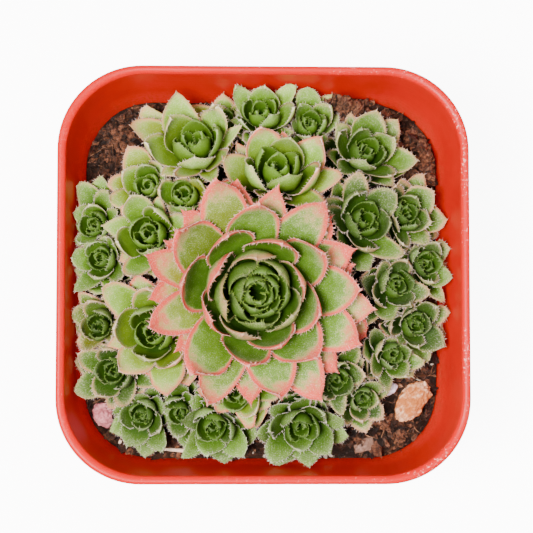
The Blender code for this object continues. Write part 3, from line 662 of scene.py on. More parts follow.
def cut_drains(pot):
    """Bore the drain holes with one Boolean, and remove the cylinders that cut them."""
    drains = bpy.data.collections.new("drain holes")
    bpy.context.scene.collection.children.link(drains)
    for across in (-1, 1):
        for along in (-1, 1):
            bm = bmesh.new()
            bmesh.ops.create_cone(
                bm,
                cap_ends=True,
                segments=40,
                radius1=DRAIN_DIAMETER / 2,
                radius2=DRAIN_DIAMETER / 2,
                depth=4 * FLOOR_THICKNESS,
                matrix=Matrix.Translation((across * DRAIN_OFFSET, along * DRAIN_OFFSET, 0.0)),
            )
            mesh = bpy.data.meshes.new("drain")
            bm.to_mesh(mesh)
            bm.free()
            drains.objects.link(bpy.data.objects.new("drain", mesh))
    modifier = pot.modifiers.new("Drains", "BOOLEAN")
    modifier.operand_type = "COLLECTION"
    modifier.collection = drains
    bpy.context.view_layer.update()
    cut = bpy.data.meshes.new_from_object(pot.evaluated_get(bpy.context.evaluated_depsgraph_get()))
    pot.modifiers.clear()
    pot.data = cut
    for drain in list(drains.objects):
        bpy.data.objects.remove(drain)
    bpy.data.collections.remove(drains)


def plastic_material(settings):
    """Moulded plastic: faint mottling, drag marks round the wall, a scuffed rim and dried splashes."""
    material, wiring, shader = new_material("moulded plastic")
    place = wiring.place()
    height = wiring.node("ShaderNodeSeparateXYZ", {"Vector": place}).outputs["Z"]
    mottle = wiring.noise(place, 9 * MM, 3.0)
    drag = wiring.noise(place, 0.35 * MM, 4.0, 0.6, (26, 26, 1))
    specks = wiring.noise(place, 0.7 * MM, 4.0, 0.7)
    shade = wiring.math("MULTIPLY_ADD", wiring.add(mottle, wiring.times(drag, 0.5)), 0.30, 0.78)
    toned = wiring.node("ShaderNodeCombineColor", {"Red": shade, "Green": shade, "Blue": shade})
    colour = wiring.mix(1.0, tuple(settings.plastic), toned.outputs[0], "MULTIPLY")

    above_rim = wiring.mask(height, POT_HEIGHT - 1.1 * RIM_ROUND, POT_HEIGHT - 0.1 * RIM_ROUND)
    colour = wiring.mix(wiring.times(above_rim, 0.85), colour, tuple(settings.rim))
    # The rim is scuffed most along its right-hand side.
    right = wiring.mask(wiring.node("ShaderNodeSeparateXYZ", {"Vector": place}).outputs["X"], 0.0, POT_WIDTH / 2)
    scuffed = wiring.mask(wiring.add(specks, wiring.times(mottle, 0.5)), 0.84, 0.96)
    scuffed = wiring.times(scuffed, wiring.math("MULTIPLY_ADD", right, 0.65, 0.10))
    colour = wiring.mix(wiring.times(above_rim, scuffed), colour, tuple(settings.worn))
    near_soil = wiring.math("SUBTRACT", 1.0, wiring.mask(height, SOIL_EDGE_HEIGHT, SOIL_EDGE_HEIGHT + 9 * MM))
    faces_up = wiring.node("ShaderNodeSeparateXYZ", {"Vector": wiring.node("ShaderNodeTexCoord").outputs["Normal"]}).outputs["Z"]
    inside = wiring.mask(faces_up, 0.0, 0.1)
    splashed = wiring.times(wiring.times(near_soil, inside), wiring.mask(specks, 0.44, 0.72))
    colour = wiring.mix(wiring.times(splashed, 0.7), colour, tuple(settings.dust))
    scratched = wiring.mask(wiring.noise(place, 0.22 * MM, 2.0, 0.5, (60, 60, 1)), 0.68, 0.76)
    colour = wiring.mix(wiring.times(scratched, 0.07), colour, tuple(settings.worn))
    roughness = wiring.add(wiring.math("MULTIPLY_ADD", mottle, 0.16, 0.28), wiring.times(splashed, 0.4))
    relief = wiring.add(wiring.times(drag, 0.5), wiring.times(specks, 0.3))
    finish(wiring, shader, colour, roughness, relief, settings.scratch_depth)
    shader.inputs["Specular IOR Level"].default_value = 0.12
    # Light shows through the thin wall as a deep red.
    shader.inputs["Subsurface Weight"].default_value = 0.5
    shader.inputs["Subsurface Radius"].default_value = (0.0050, 0.0004, 0.0002)
    shader.inputs["Subsurface Scale"].default_value = 1.0
    return material


class ROSULARIA_OT_pot(bpy.types.Operator):
    """Build the square pot with its collar, rounded rim and drain holes"""

    bl_idname = "rosularia.pot"
    bl_label = "Pot"

    def execute(self, context):
        settings = context.scene.rosularia_pot
        loops = []
        for inset, height in pot_profile():
            outline = pot_outline(inset, POT_CORNER_STEPS, POT_SIDE_POINTS)
            loops.append([(x, y, height) for x, y in outline])
        pile = Pile()
        pile.add([point for loop in loops for point in loop], skin(loops))
        pot = pile.to_object("plastic_pot", plastic_material(settings))
        cut_drains(pot)
        pot.data.shade_smooth()
        pot.data.set_sharp_from_angle(angle=math.radians(32))
        keep(pot, "pot", "pot")
        return {"FINISHED"}


def mound(x, y):
    """The height of the soil's dome, without its heaps."""
    away = math.hypot(x - SOIL_CENTRE[0], y - SOIL_CENTRE[1]) / SOIL_MOUND_RADIUS
    return SOIL_EDGE_HEIGHT + SOIL_MOUND * max(0.0, 1 - away * away)


def soil_height(x, y):
    """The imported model's soil, with its heaps."""
    added = 0.0
    for heap_x, heap_y, radius, height in SOIL_HEAPS:
        away = math.hypot(x - heap_x, y - heap_y) / radius
        if away < 1:
            added = max(added, height * (1 - away * away) ** 1.5)
    roughness = abs(noise.noise(Vector((x, y, 0.0)) / (3.1 * MM))) * SOIL_ROUGHNESS
    return mound(x, y) + added - roughness


def crumbly_height(x, y):
    """The soil's height with its crumbs."""
    height = soil_height(x, y)
    for size, depth in SOIL_RELIEF:
        height += depth * noise.noise(Vector((x / size, y / size, size / MM)))
    return height


def build_ground(pile):
    loops = []
    for height in (FLOOR_THICKNESS + BASE_CHAMFER + SOIL_GAP, SOIL_EDGE_HEIGHT / 2):
        outline = pot_outline(inner_inset(height) + SOIL_GAP, SOIL_CORNER_STEPS, SOIL_SIDE_POINTS)
        loops.append([(x, y, height) for x, y in outline])
    edge = pot_outline(inner_inset(SOIL_EDGE_HEIGHT) + SOIL_GAP, SOIL_CORNER_STEPS, SOIL_SIDE_POINTS)
    for ring in range(SOIL_RING_COUNT):
        part = 1 - ring / SOIL_RING_COUNT
        loops.append([(x * part, y * part, crumbly_height(x * part, y * part)) for x, y in edge])
    points = [point for loop in loops for point in loop]
    # The ground under the crumbs is kept dark: partly damp soil and partly painted shade in the gaps between the
    # crumbs.
    shades = [0.15 + 0.4 * noise.noise(Vector(p) / (1.4 * MM)) for p in points]
    tones = np.zeros((len(points), 4))
    tones[:, 0] = shades
    pile.add(points, skin(loops), tone=tones)


def ball(subdivisions):
    bm = bmesh.new()
    bmesh.ops.create_icosphere(bm, subdivisions=subdivisions, radius=1.0)
    points = np.array([vertex.co for vertex in bm.verts])
    faces = [[vertex.index for vertex in face.verts] for face in bm.faces]
    bm.free()
    return points, faces


def random_turns(rng, count):
    """Rotation matrices that are spread evenly over all directions."""
    quaternions = rng.normal(size=(count, 4))
    quaternions /= np.linalg.norm(quaternions, axis=1)[:, None]
    w, x, y, z = quaternions.T
    rows = (
        (1 - 2 * (y * y + z * z), 2 * (x * y - z * w), 2 * (x * z + y * w)),
        (2 * (x * y + z * w), 1 - 2 * (x * x + z * z), 2 * (y * z - x * w)),
        (2 * (x * z - y * w), 2 * (y * z + x * w), 1 - 2 * (x * x + y * y)),
    )
    return np.moveaxis(np.array(rows), 2, 0)


def soil_places(rng, count, inner=0.0):
    """Random places on the soil inside the pot, none closer to the middle than inner."""
    inset = inner_inset(SOIL_EDGE_HEIGHT) + 0.6 * MM
    corner = RIM_CORNER - CORNER_SHRINK * inset
    half_x, half_y = POT_WIDTH / 2 - inset, POT_DEPTH / 2 - inset
    places = []
    while len(places) < count:
        x, y = rng.uniform(-half_x, half_x), rng.uniform(-half_y, half_y)
        over = math.hypot(max(0.0, abs(x) - half_x + corner), max(0.0, abs(y) - half_y + corner))
        if over < corner and math.hypot(x, y) > inner:
            places.append((x, y))
    return np.array(places)


def inside_pot(places, room):
    """Draw places that lie closer than that room to the pot's wall back from it."""
    inset = inner_inset(SOIL_EDGE_HEIGHT) + room
    corner = RIM_CORNER - CORNER_SHRINK * inset
    flat = np.array((POT_WIDTH / 2 - inset - corner, POT_DEPTH / 2 - inset - corner))
    over = np.maximum(np.abs(places) - flat, 0.0)
    away = np.maximum(np.linalg.norm(over, axis=1, keepdims=True), 1e-9)
    return np.sign(places) * (np.minimum(np.abs(places), flat) + over * np.minimum(1.0, corner / away))


def scatter_crumbs(pile, rng, places, sizes, tones, lift=0.25, flat=(0.3, 1.3), rise=0.0):
    """Angular crumbs at those places, half sunk in the soil."""
    shape, faces = ball(1)
    count = len(places)
    bumps = rng.uniform(0.45, 1.35, (count, len(shape), 1))
    stretch = rng.uniform(flat[0], flat[1], (count, 1, 3)) * sizes[:, None, None]
    crumbs = np.einsum("nij,npj->npi", random_turns(rng, count), shape[None] * bumps * stretch)
    heights = np.array([crumbly_height(x, y) for x, y in places]) + lift * sizes + rise
    crumbs += np.column_stack((places, heights))[:, None, :]
    pile.add_copies(crumbs, faces, tone=tones[:, None, :])


def scatter_fibres(pile, rng, places, width, length):
    """Thin bent fibres, each a three-sided tube along a curved line."""
    steps = 6
    along = np.linspace(-0.5, 0.5, steps)
    faces = skin([range(3)] * steps, False, False)
    ends = [(2, 1, 0), tuple(3 * (steps - 1) + i for i in range(3))]
    for x, y in places:
        size = length * rng.uniform(0.4, 1.3)
        turn = rng.uniform(0, 2 * math.pi)
        bend = rng.normal(0, 0.35)
        rise = rng.normal(0, 0.4)
        line = np.column_stack((along, bend * (along**2 - 0.1), rise * along + 0.12 * np.cos(5 * along + turn))) * size
        cosine, sine = math.cos(turn), math.sin(turn)
        line[:, :2] = line[:, :2] @ np.array(((cosine, sine), (-sine, cosine)))
        line += (x, y, crumbly_height(x, y) + 0.8 * MM)
        radius = width / 2 * rng.uniform(0.6, 1.4)
        side = np.array((-sine, cosine, 0.0))
        up = np.array((0.0, 0.0, 1.0))
        taper = 1 - 0.6 * np.abs(2 * along) ** 3
        points = [
            line + radius * taper[:, None] * (math.cos(a) * side + math.sin(a) * up)
            for a in (0.5, 2.6, 4.7)
        ]
        points = np.stack(points, 1).reshape(-1, 3)
        pile.add(points, faces + ends, tone=(rng.uniform(0.2, 1.0), 1.0, 0.0, 0.0))


# Clumps on the soil: x, y, radius of the clump, crumbs, their size and lightness, perlite or not,
# then how tall it stands
CLUMPS = (
    (27.5, -32.3, 1.8, 70, 0.75, 1.00, 0, 2.2),
    (31.3, -35.5, 1.8, 60, 0.75, 0.90, 0, 2.0),
    (24.0, -35.0, 4.0, 30, 0.9, 0.45, 0, 0.0),
    (33.4, -22.8, 0.5, 3, 1.4, 0.65, 0, 0.0),
    (17.0, 39.4, 5.6, 330, 0.95, 0.80, 0, 10.0),
    (17.0, 40.0, 6.6, 80, 1.9, 0.95, 0, 10.0),
    (15.0, 37.6, 3.0, 12, 0.9, 0.85, 1, 4.0),
    (35.5, 27.5, 6.5, 250, 0.95, 0.72, 0, 5.0),
    (36.0, 26.5, 8.0, 80, 1.7, 0.90, 0, 5.0),
    (37.0, 20.0, 4.0, 130, 0.95, 0.72, 0, 4.0),
    (29.5, 36.0, 3.0, 50, 1.1, 0.60, 0, 1.0),
    (-34.0, 30.0, 5.0, 90, 1.0, 0.55, 0, 0.0),
    (-27.0, 36.0, 6.0, 90, 1.0, 0.55, 0, 0.0),
    (-36.0, 20.0, 4.0, 60, 1.0, 0.55, 0, 0.0),
    (-31.5, 28.0, 0.3, 2, 1.4, 0.95, 1, 0.6),
    (-34.0, 23.2, 0.5, 2, 1.1, 0.70, 0, 0.0),
    (9.6, -39.6, 3.0, 18, 0.65, 0.90, 1, 0.0),
    (2.6, -38.8, 3.0, 14, 0.6, 0.85, 1, 0.0),
    (15.6, -40.2, 2.5, 12, 0.6, 0.95, 1, 0.0),
    (-16.0, -37.6, 4.0, 20, 0.5, 0.80, 1, 0.0),
)


def soil_material(settings):
    """Damp crumbs, coir fibres and perlite, told apart by the values that the mesh carries, with painted shade in the
    hollows between the crumbs.
    """
    material, wiring, shader = new_material("potting soil")
    tone = wiring.node("ShaderNodeAttribute", attribute_name="tone").outputs["Color"]
    values = wiring.node("ShaderNodeSeparateColor", {"Color": tone}).outputs
    made = wiring.tree.nodes.new("ShaderNodeGroup")
    made.node_tree = speckle_group()
    inputs = {"First": tuple(settings.dark), "Second": tuple(settings.light), "Size": 0.9 * MM, "Softness": 0.5}
    for socket, value in inputs.items():
        wiring.put(made.inputs[socket], value)
    wiring.put(made.inputs["Balance"], wiring.math("MULTIPLY_ADD", values["Red"], 0.5, -0.26))
    tan = wiring.mix(wiring.mask(values["Red"], 0.3, 1.0), (0.10, 0.035, 0.016), tuple(settings.fibre))
    colour = wiring.mix(values["Green"], made.outputs["Color"], tan)
    # The hollows of the crumbly relief are darkened to the dark soil colour: painted shade between the crumbs.
    crumbly = wiring.noise(wiring.place(), 0.7 * MM, 6.0, 0.72)
    painted_hollow_shade = wiring.math("SUBTRACT", 1.0, wiring.mask(crumbly, 0.42, 0.57))
    colour = wiring.mix(wiring.times(painted_hollow_shade, 0.9), colour, tuple(settings.dark))
    colour = wiring.mix(values["Blue"], colour, tuple(settings.perlite))
    finish(wiring, shader, colour, 0.42, wiring.add(made.outputs["Height"], wiring.times(crumbly, 2.0)), 0.0008)
    shader.inputs["Specular IOR Level"].default_value = 0.45
    return material


class ROSULARIA_OT_soil(bpy.types.Operator):
    """Build the soil with its crumbs, fibres and bits of perlite"""

    bl_idname = "rosularia.soil"
    bl_label = "Soil"

    def execute(self, context):
        settings = context.scene.rosularia_soil
        rng = np.random.default_rng(11)
        pile = Pile("tone")
        build_ground(pile)
        places = soil_places(rng, settings.crumbs, 24 * MM)
        sizes = settings.crumb_size * np.exp(rng.normal(0, 0.45, len(places)))
        tones = np.zeros((len(places), 4))
        tones[:, 0] = rng.uniform(0.0, 1.0, len(places)) ** 1.6
        tones[:, 1] = rng.uniform(0, 1, len(places)) < 0.08
        tones[:, 2] = rng.uniform(0, 1, len(places)) < 0.012
        scatter_crumbs(pile, rng, places, sizes, tones)
        for x, y, spread, count, size, lightness, perlite, tall in CLUMPS:
            places = rng.normal(0, 0.5 * spread * MM, (count, 2))
            rise = np.exp(-((np.linalg.norm(places, axis=1) / (0.6 * spread * MM)) ** 2))
            rise *= tall * MM * rng.uniform(0.0, 1.0, count)
            places += (x * MM, y * MM)
            places = inside_pot(places, 1.3 * size * MM)
            sizes = size * MM * rng.uniform(0.45, 1.0, count)
            tones = np.zeros((count, 4))
            tones[:, 0] = lightness * rng.uniform(0.3, 1.5, count)
            tones[:, 2] = perlite * rng.uniform(0.5, 1.0, count)
            scatter_crumbs(pile, rng, places, sizes, tones, 0.5, rise=rise)
        scatter_fibres(pile, rng, soil_places(rng, settings.fibres, 24 * MM), settings.fibre_width, 3.8 * MM)
        soil = pile.to_object("potting_soil", soil_material(settings))
        soil.data.set_sharp_from_angle(angle=math.radians(50))
        keep(soil, "soil", "soil")
        return {"FINISHED"}


class Head:
    """One rosette: where it stands, which way it faces and how far it may spread."""

    def __init__(self, row):
        name, x, y, reach, lean, lean_way, leaves, first_leaf, broad, fresh, blush = row
        self.name = name
        self.is_main = name == "rosette_main"
        self.reach = reach * MM
        self.leaves = leaves
        self.broad = broad
        self.fresh = fresh
        self.blush = blush
        self.first_leaf = math.radians(first_leaf)
        way, tilt = math.radians(lean_way), math.radians(lean)
        self.axis = np.array((math.sin(tilt) * math.cos(way), math.sin(tilt) * math.sin(way), math.cos(tilt)))
        self.turn = np.array(Vector((0, 0, 1)).rotation_difference(Vector(self.axis)).to_matrix())
        self.rise = HEAD_FLATNESS * self.reach + (MAIN_CLEARANCE if self.is_main else HEAD_CLEARANCE)
        raised = self.rise + (0.0 if self.is_main else GROWING_POINT * self.reach)
        foot = np.array((x * MM, y * MM)) - self.axis[:2] * raised
        self.foot = np.array((*foot, mound(*foot)))
        self.centre = self.foot + self.axis * self.rise
        self.planes = []

    def extent(self, directions):
        """The reach along directions of the flat ball that holds the whole rosette."""
        up = directions @ self.axis
        across = np.sqrt(np.maximum(0.0, 1 - up * up))
        return self.reach / np.sqrt(across**2 + (up / HEAD_FLATNESS) ** 2)

    def part_from(self, centre, other):
        """Add the plane between this rosette and another, or a round thing of that radius."""
        between = centre - self.centre
        distance = np.linalg.norm(between)
        normal = between / distance
        own = self.extent(normal)
        theirs = other.extent(-normal) if isinstance(other, Head) else other
        if own + theirs + 2 * MM < distance:
            return
        by_main = self.is_main or (isinstance(other, Head) and other.is_main)
        least = LEAST_SHARE_OF_MAIN if by_main else LEAST_SHARE
        limit = (distance**2 + own**2 - theirs**2) / (2 * distance)
        limit = min(max(limit, least * distance), (1 - least) * distance)
        # The large rosette lies over its neighbours, so their shared plane leans outward.
        leaned = between.copy()
        if by_main:
            leaned[2] += -OVERHANG if self.is_main else OVERHANG
        leaned /= np.linalg.norm(leaned)
        self.planes.append((leaned, limit * (normal @ leaned) - NEIGHBOUR_GAP))

    def fit(self, points):
        """Draw points in towards the rosette's centre where there is less room that way."""
        offset = points - self.centre
        distance = np.maximum(np.linalg.norm(offset, axis=-1), 1e-9)
        direction = offset / distance[..., None]
        reach = np.maximum(distance, self.extent(direction))
        normals = np.array([normal for normal, _ in self.planes])
        limits = np.array([limit for _, limit in self.planes])
        crowding = (np.maximum(direction @ normals.T, 0.0) / limits).max(axis=-1) * reach
        kept = (1 + crowding**FIT_SHARPNESS) ** (-1 / FIT_SHARPNESS)
        return self.centre + offset * kept[..., None]


def wall_planes():
    """Flat planes just inside the pot's wall: four sides, and three across each corner."""
    inset = inner_inset(SOIL_EDGE_HEIGHT) + SOIL_GAP
    corner = RIM_CORNER - CORNER_SHRINK * inset
    half_x, half_y = POT_WIDTH / 2 - inset, POT_DEPTH / 2 - inset
    planes = []
    for step in range(16):
        angle = step * math.pi / 8
        flat_x, flat_y = math.cos(angle), math.sin(angle)
        support = (half_x - corner) * abs(flat_x) + (half_y - corner) * abs(flat_y) + corner
        normal = np.array((flat_x, flat_y, -WALL_TAPER))
        size = np.linalg.norm(normal)
        planes.append((normal / size, (support - WALL_TAPER * SOIL_EDGE_HEIGHT) / size))
    return planes


def all_heads():
    """Every rosette, each with the planes that part it from the wall, the soil and its neighbours."""
    heads = [Head(row) for row in HEADS]
    walls = wall_planes()
    step = 0.1 * MM
    for head in heads:
        head.planes += [(normal, limit - normal @ head.centre) for normal, limit in walls]
        x, y = head.foot[:2]
        slope_x = (mound(x + step, y) - mound(x - step, y)) / (2 * step)
        slope_y = (mound(x, y + step) - mound(x, y - step)) / (2 * step)
        down = np.array((slope_x, slope_y, -1.0))
        down /= np.linalg.norm(down)
        head.planes.append((down, down @ (head.foot - head.centre) - SOIL_GAP))
        for heap_x, heap_y, radius, height in SOIL_HEAPS:
            top = np.array((heap_x, heap_y, mound(heap_x, heap_y) + 0.3 * height))
            head.part_from(top, 0.85 * radius)
        for _, stone_x, stone_y, half_sizes, _, sunk in STONES:
            low = mound(stone_x * MM, stone_y * MM) + (half_sizes[2] - sunk) * MM
            head.part_from(np.array((stone_x * MM, stone_y * MM, low)), 1.1 * half_sizes[0] * MM)
        for other in heads:
            if other is not head:
                head.part_from(other.centre, other)
    return heads


def rule_at(place):
    """The leaf rule between its rows, for a leaf that far in."""
    columns = np.array(LEAF_RULE, float).T
    return [float(np.interp(place, columns[0], column)) for column in columns[1:]]


def half_width(along):
    """A leaf's half width along its length: spoon-shaped, with a broad shoulder and a small point."""
    rising = np.sin(np.pi / 2 * np.minimum(along / LEAF_WIDEST, 1.0))
    falling = np.clip((along - LEAF_WIDEST) / (1 - LEAF_WIDEST), 0.0, 1.0)
    spoon = np.where(along < LEAF_WIDEST, LEAF_BASE + (1 - LEAF_BASE) * rising, (1 - falling**LEAF_SHOULDER) ** LEAF_BLUNTNESS)
    point = LEAF_CUSP * np.clip((LEAF_TIP - along) / (LEAF_TIP - 0.97), 0.0, 1.0) ** 0.7
    return np.maximum(spoon, point)


def core_radius(head, place):
    return head.reach * CORE_RADIUS * (1 - 0.75 * place**1.4) + 0.3 * MM


def core_height(head):
    return head.reach * (0.31 if head.is_main else 0.40)


class Leaf:
    """One leaf of a rosette, with its own small departures from the rule."""

    def __init__(self, head, number, thickness, rng):
        self.head = head
        self.place = number / (head.leaves - 1)
        start, end, length, width = rule_at(self.place)
        tip_rise = rng.normal(0, RISE_SPREAD)
        self.start = math.radians(start)
        self.end = math.radians(end + tip_rise)
        self.length = length * head.reach * (1 + LENGTH_SPREAD * rng.uniform(-1, 1))
        self.width = width * head.reach * head.broad * (1 + WIDTH_SPREAD * rng.uniform(-1, 1))
        self.thickness = thickness
        self.root = 0.45 * core_radius(head, self.place)
        self.foot = head.reach * 0.05 + core_height(head) * self.place
        self.azimuth = head.first_leaf - GOLDEN_ANGLE * number + math.radians(TURN_SPREAD) * rng.uniform(-1, 1)
        self.wave = rng.uniform(0, 2 * math.pi)
        self.wave_height = rng.uniform(0.02, 0.07) * self.width
        self.skew = rng.uniform(-0.10, 0.10)

    def points(self, along, across, side):
        """Points of the leaf: along its length, across from -1 to 1, side from -1 below to 1 above."""
        angle = self.start + (self.end - self.start) * along
        curl = self.end - self.start
        radius = self.root + self.length / curl * (np.sin(angle) - math.sin(self.start))
        height = self.foot + self.length / curl * (math.cos(self.start) - np.cos(angle))
        half = self.width / 2 * half_width(along)
        lens = np.maximum(1 - across**2, 0.0) ** 0.8
        ridge = np.exp(-((across / 0.22) ** 2))
        belly = np.where(side > 0, 1 - 0.22 * ridge, 1 + 0.25 * ridge * along)
        depth = self.thickness * (1 - 0.35 * along) * lens * 0.5 * side * belly
        ripple = self.wave_height * np.sin(9 * along + self.wave) * across**3
        lift = depth + LEAF_TROUGH * half * across**2 + ripple * along
        radius = radius - lift * np.sin(angle)
        height = height + lift * np.cos(angle)
        swing = (across * half + self.skew * half * along**2 * (1 - across**2)) / np.maximum(
            np.maximum(np.abs(radius), 0.9 * half), 0.1 * MM
        )
        turned = self.azimuth + swing
        local = np.stack((radius * np.cos(turned), radius * np.sin(turned), height - self.head.reach * 0.40), -1)
        return self.head.fit(self.head.centre + local @ self.head.turn.T)


def leaf_tone(head, leaf, rng):
    """Freshness, blush and gold of one leaf, from 0 to 1."""
    fresh = head.fresh + rng.uniform(-0.15, 0.15)
    blush = head.blush * (1 - 0.45 * leaf.place) * rng.uniform(0.75, 1.15)
    gold = 0.0
    if head.is_main:
        # The large rosette's outer leaves on the left get gold and extra blush: painted glow of the light from the
        # left shining through them.
        painted_glow = max(0.0, -math.cos(leaf.azimuth + 0.25))
        gold = 1.1 * painted_glow * max(0.0, 1 - leaf.place / 0.5)
        blush += 0.25 * painted_glow
    elif head.name == WITHERED_HEAD:
        gold = 1.3 * max(0.0, math.cos(leaf.azimuth - WITHERED_WAY)) * (1 - leaf.place)
    elif head.blush > 0.5:
        gold = rng.uniform(0.0, 0.45) * (1 - leaf.place)
    return np.clip((fresh, blush, gold, 0.0), 0.0, 1.0)


def add_blade(pile, leaf, tone, stations, sides):
    """A leaf as a closed blade, skinned over rounded sections."""
    step = np.arange(stations) / stations
    along = LEAF_TIP * (1 - (1 - step) ** 1.35)
    angle = 2 * math.pi * np.arange(sides) / sides
    across = np.sign(np.cos(angle)) * np.abs(np.cos(angle)) ** 0.85
    side = np.where(np.abs(np.sin(angle)) < 1e-6, 0.0, np.sign(np.sin(angle)))
    grid_along, grid_across = np.meshgrid(along, across, indexing="ij")
    grid_side = np.broadcast_to(side, grid_along.shape)
    points = leaf.points(grid_along, grid_across, grid_side)
    tip = leaf.points(np.array([LEAF_TIP]), np.zeros(1), np.zeros(1))
    margin = (1 - np.abs(grid_across)) * leaf.width / 2 * half_width(grid_along) / (4 * MM)
    values = np.stack(
        (grid_along / LEAF_TIP, margin, 0.5 + 0.5 * grid_side, np.full_like(margin, leaf.place)), -1
    ).reshape(-1, 4)
    values = np.vstack((values, (1.0, 0.0, 0.5, leaf.place)))
    faces = skin([range(sides)] * stations, True, False)
    last = (stations - 1) * sides
    faces += [(last + i, last + (i + 1) % sides, stations * sides) for i in range(sides)]
    pile.add(np.vstack((points.reshape(-1, 3), tip)), faces, leaf=values, tone=tone)


def add_hairs(pile, leaf, tone, settings, rng):
    """Stiff hairs along both margins, each a slim three-sided cone."""
    scale = 1.0 if leaf.head.is_main else 0.8
    count = max(6, int(leaf.length / settings.hair_spacing))
    along = np.tile(np.linspace(0.25, 1.0, count), 2) + rng.uniform(-0.01, 0.01, 2 * count)
    edge = np.repeat((-1.0, 1.0), count)
    none = np.zeros_like(along)
    root = leaf.points(along, edge * 0.97, none)
    out = leaf.points(along, edge * 1.15, none) - leaf.points(along, edge * 0.9, none)
    ahead = leaf.points(along + 0.04, edge, none) - leaf.points(along - 0.02, edge, none)
    out /= np.maximum(np.linalg.norm(out, axis=1), 1e-9)[:, None]
    ahead /= np.maximum(np.linalg.norm(ahead, axis=1), 1e-9)[:, None]
    way = out * 0.9 + ahead * (0.25 + 0.5 * along[:, None] ** 3) + rng.normal(0, 0.22, root.shape)
    way /= np.linalg.norm(way, axis=1)[:, None]
    size = settings.hair_length * scale * rng.uniform(0.5, 1.1, len(along)) * (0.45 + 0.55 * along)
    side = np.cross(way, rng.normal(size=way.shape))
    side /= np.linalg.norm(side, axis=1)[:, None]
    other = np.cross(way, side)
    corners = []
    for turn in (0.0, 2 * math.pi / 3, 4 * math.pi / 3):
        spoke = math.cos(turn) * side + math.sin(turn) * other
        corners.append(root + settings.hair_width / 2 * scale * spoke)
    corners.append(root + way * size[:, None])
    shapes = np.stack(corners, 1)
    shade = np.array(tone)
    shade = np.tile(shade, (len(along), 4, 1))
    shade[:, :, 3] = (0.7, 0.7, 0.7, 1.0)
    values = np.zeros((len(along), 4, 4))
    values[:, :, 0] = along[:, None]
    values[:, :, 3] = leaf.place
    pile.add_copies(shapes, [(0, 1, 3), (1, 2, 3), (2, 0, 3), (2, 1, 0)], leaf=values, tone=shade)


def add_core(pile, head, tone):
    """The short stem and the growing point, turned round the rosette's axis."""
    base = -head.reach * 0.40
    floor = base - (head.rise - 0.40 * head.reach) - STEM_DEPTH
    stem = 0.6 * core_radius(head, 0.0) + 0.25 * MM
    profile = [(stem, floor), (stem, base - 0.02 * head.reach)]
    for place in (0.0, 0.3, 0.6, 0.8, 0.93):
        profile.append((core_radius(head, place), base + core_height(head) * place + 0.03 * head.reach))
    profile.append((0.1 * MM, base + core_height(head) + 0.06 * head.reach))
    sides = 16
    angle = 2 * math.pi * np.arange(sides) / sides
    loops = [
        np.column_stack((r * np.cos(angle), r * np.sin(angle), np.full(sides, z))) for r, z in profile
    ]
    local = np.vstack(loops)
    shade = np.zeros((len(local), 4))
    shade[:, 0] = 0.12
    pile.add(head.centre + local @ head.turn.T, skin(loops), leaf=shade, tone=tone)


def build_rosette(head, piece_name, material, settings, seed, stations, sides):
    rng = np.random.default_rng(seed)
    thickness = settings.main_thickness if head.is_main else settings.offset_thickness
    pile = Pile("leaf", "tone")
    for number in range(head.leaves):
        leaf = Leaf(head, number, thickness, rng)
        tone = leaf_tone(head, leaf, rng)
        add_blade(pile, leaf, tone, stations, sides)
        add_hairs(pile, leaf, tone, settings, rng)
    add_core(pile, head, (0.2, 0.1, 0.0, 0.0))
    return pile.to_object(piece_name, material)


class ROSULARIA_OT_large_rosette(bpy.types.Operator):
    """Build the large rosette with its hairy, blushing leaves"""

    bl_idname = "rosularia.large_rosette"
    bl_label = "Large rosette"

    def execute(self, context):
        settings = context.scene.rosularia_leaves
        head = next(head for head in all_heads() if head.is_main)
        material = leaf_material("large rosette leaf", settings)
        rosette = build_rosette(head, "large_rosette", material, settings, 5, 22, 20)
        keep(rosette, "main_leaves", head.name)
        return {"FINISHED"}


class ROSULARIA_OT_offsets(bpy.types.Operator):
    """Build the ring of offsets round the large rosette"""

    bl_idname = "rosularia.offsets"
    bl_label = "Offsets"

    def execute(self, context):
        settings = context.scene.rosularia_leaves
        material = leaf_material("offset leaf", settings)
        for seed, head in enumerate(all_heads()):
            if head.is_main:
                continue
            name = head.name.replace("offset", "offset_rosette")
            offset = build_rosette(head, name, material, settings, 100 + seed, 15, 14)
            keep(offset, "offset_leaves", head.name)
        return {"FINISHED"}


def build_stone(row, seed, material, slot, relief, facets):
    """A stone in its packed place: relief lists (size, height) of its lumps in half sizes."""
    name, x, y, half_sizes, turn, sunk = row
    shape, faces = ball(6)
    sizes = np.array(half_sizes) * MM
    points = []
    for direction in shape:
        place = Vector(direction)
        bump = 1 + STONE_ROUGHNESS * noise.noise(place * 1.6 + Vector((seed, 0.0, 0.0)))
        for frequency, depth in relief:
            bump += depth * noise.noise(place * frequency + Vector((0.0, seed, frequency)))
        if facets:
            cell = noise.voronoi(place * facets + Vector((seed, seed, 0.0)))[0]
            bump += 0.16 * (0.45 - cell[0])
        points.append(direction * sizes * bump)
    turned = np.array(Matrix.Rotation(math.radians(turn), 3, "Z"))
    place = np.array((x * MM, y * MM, mound(x * MM, y * MM) + (half_sizes[2] - sunk) * MM))
    pile = Pile()
    pile.add(np.array(points) @ turned.T + place, faces)
    keep(pile.to_object(f"{name}_rough", material), slot, name)


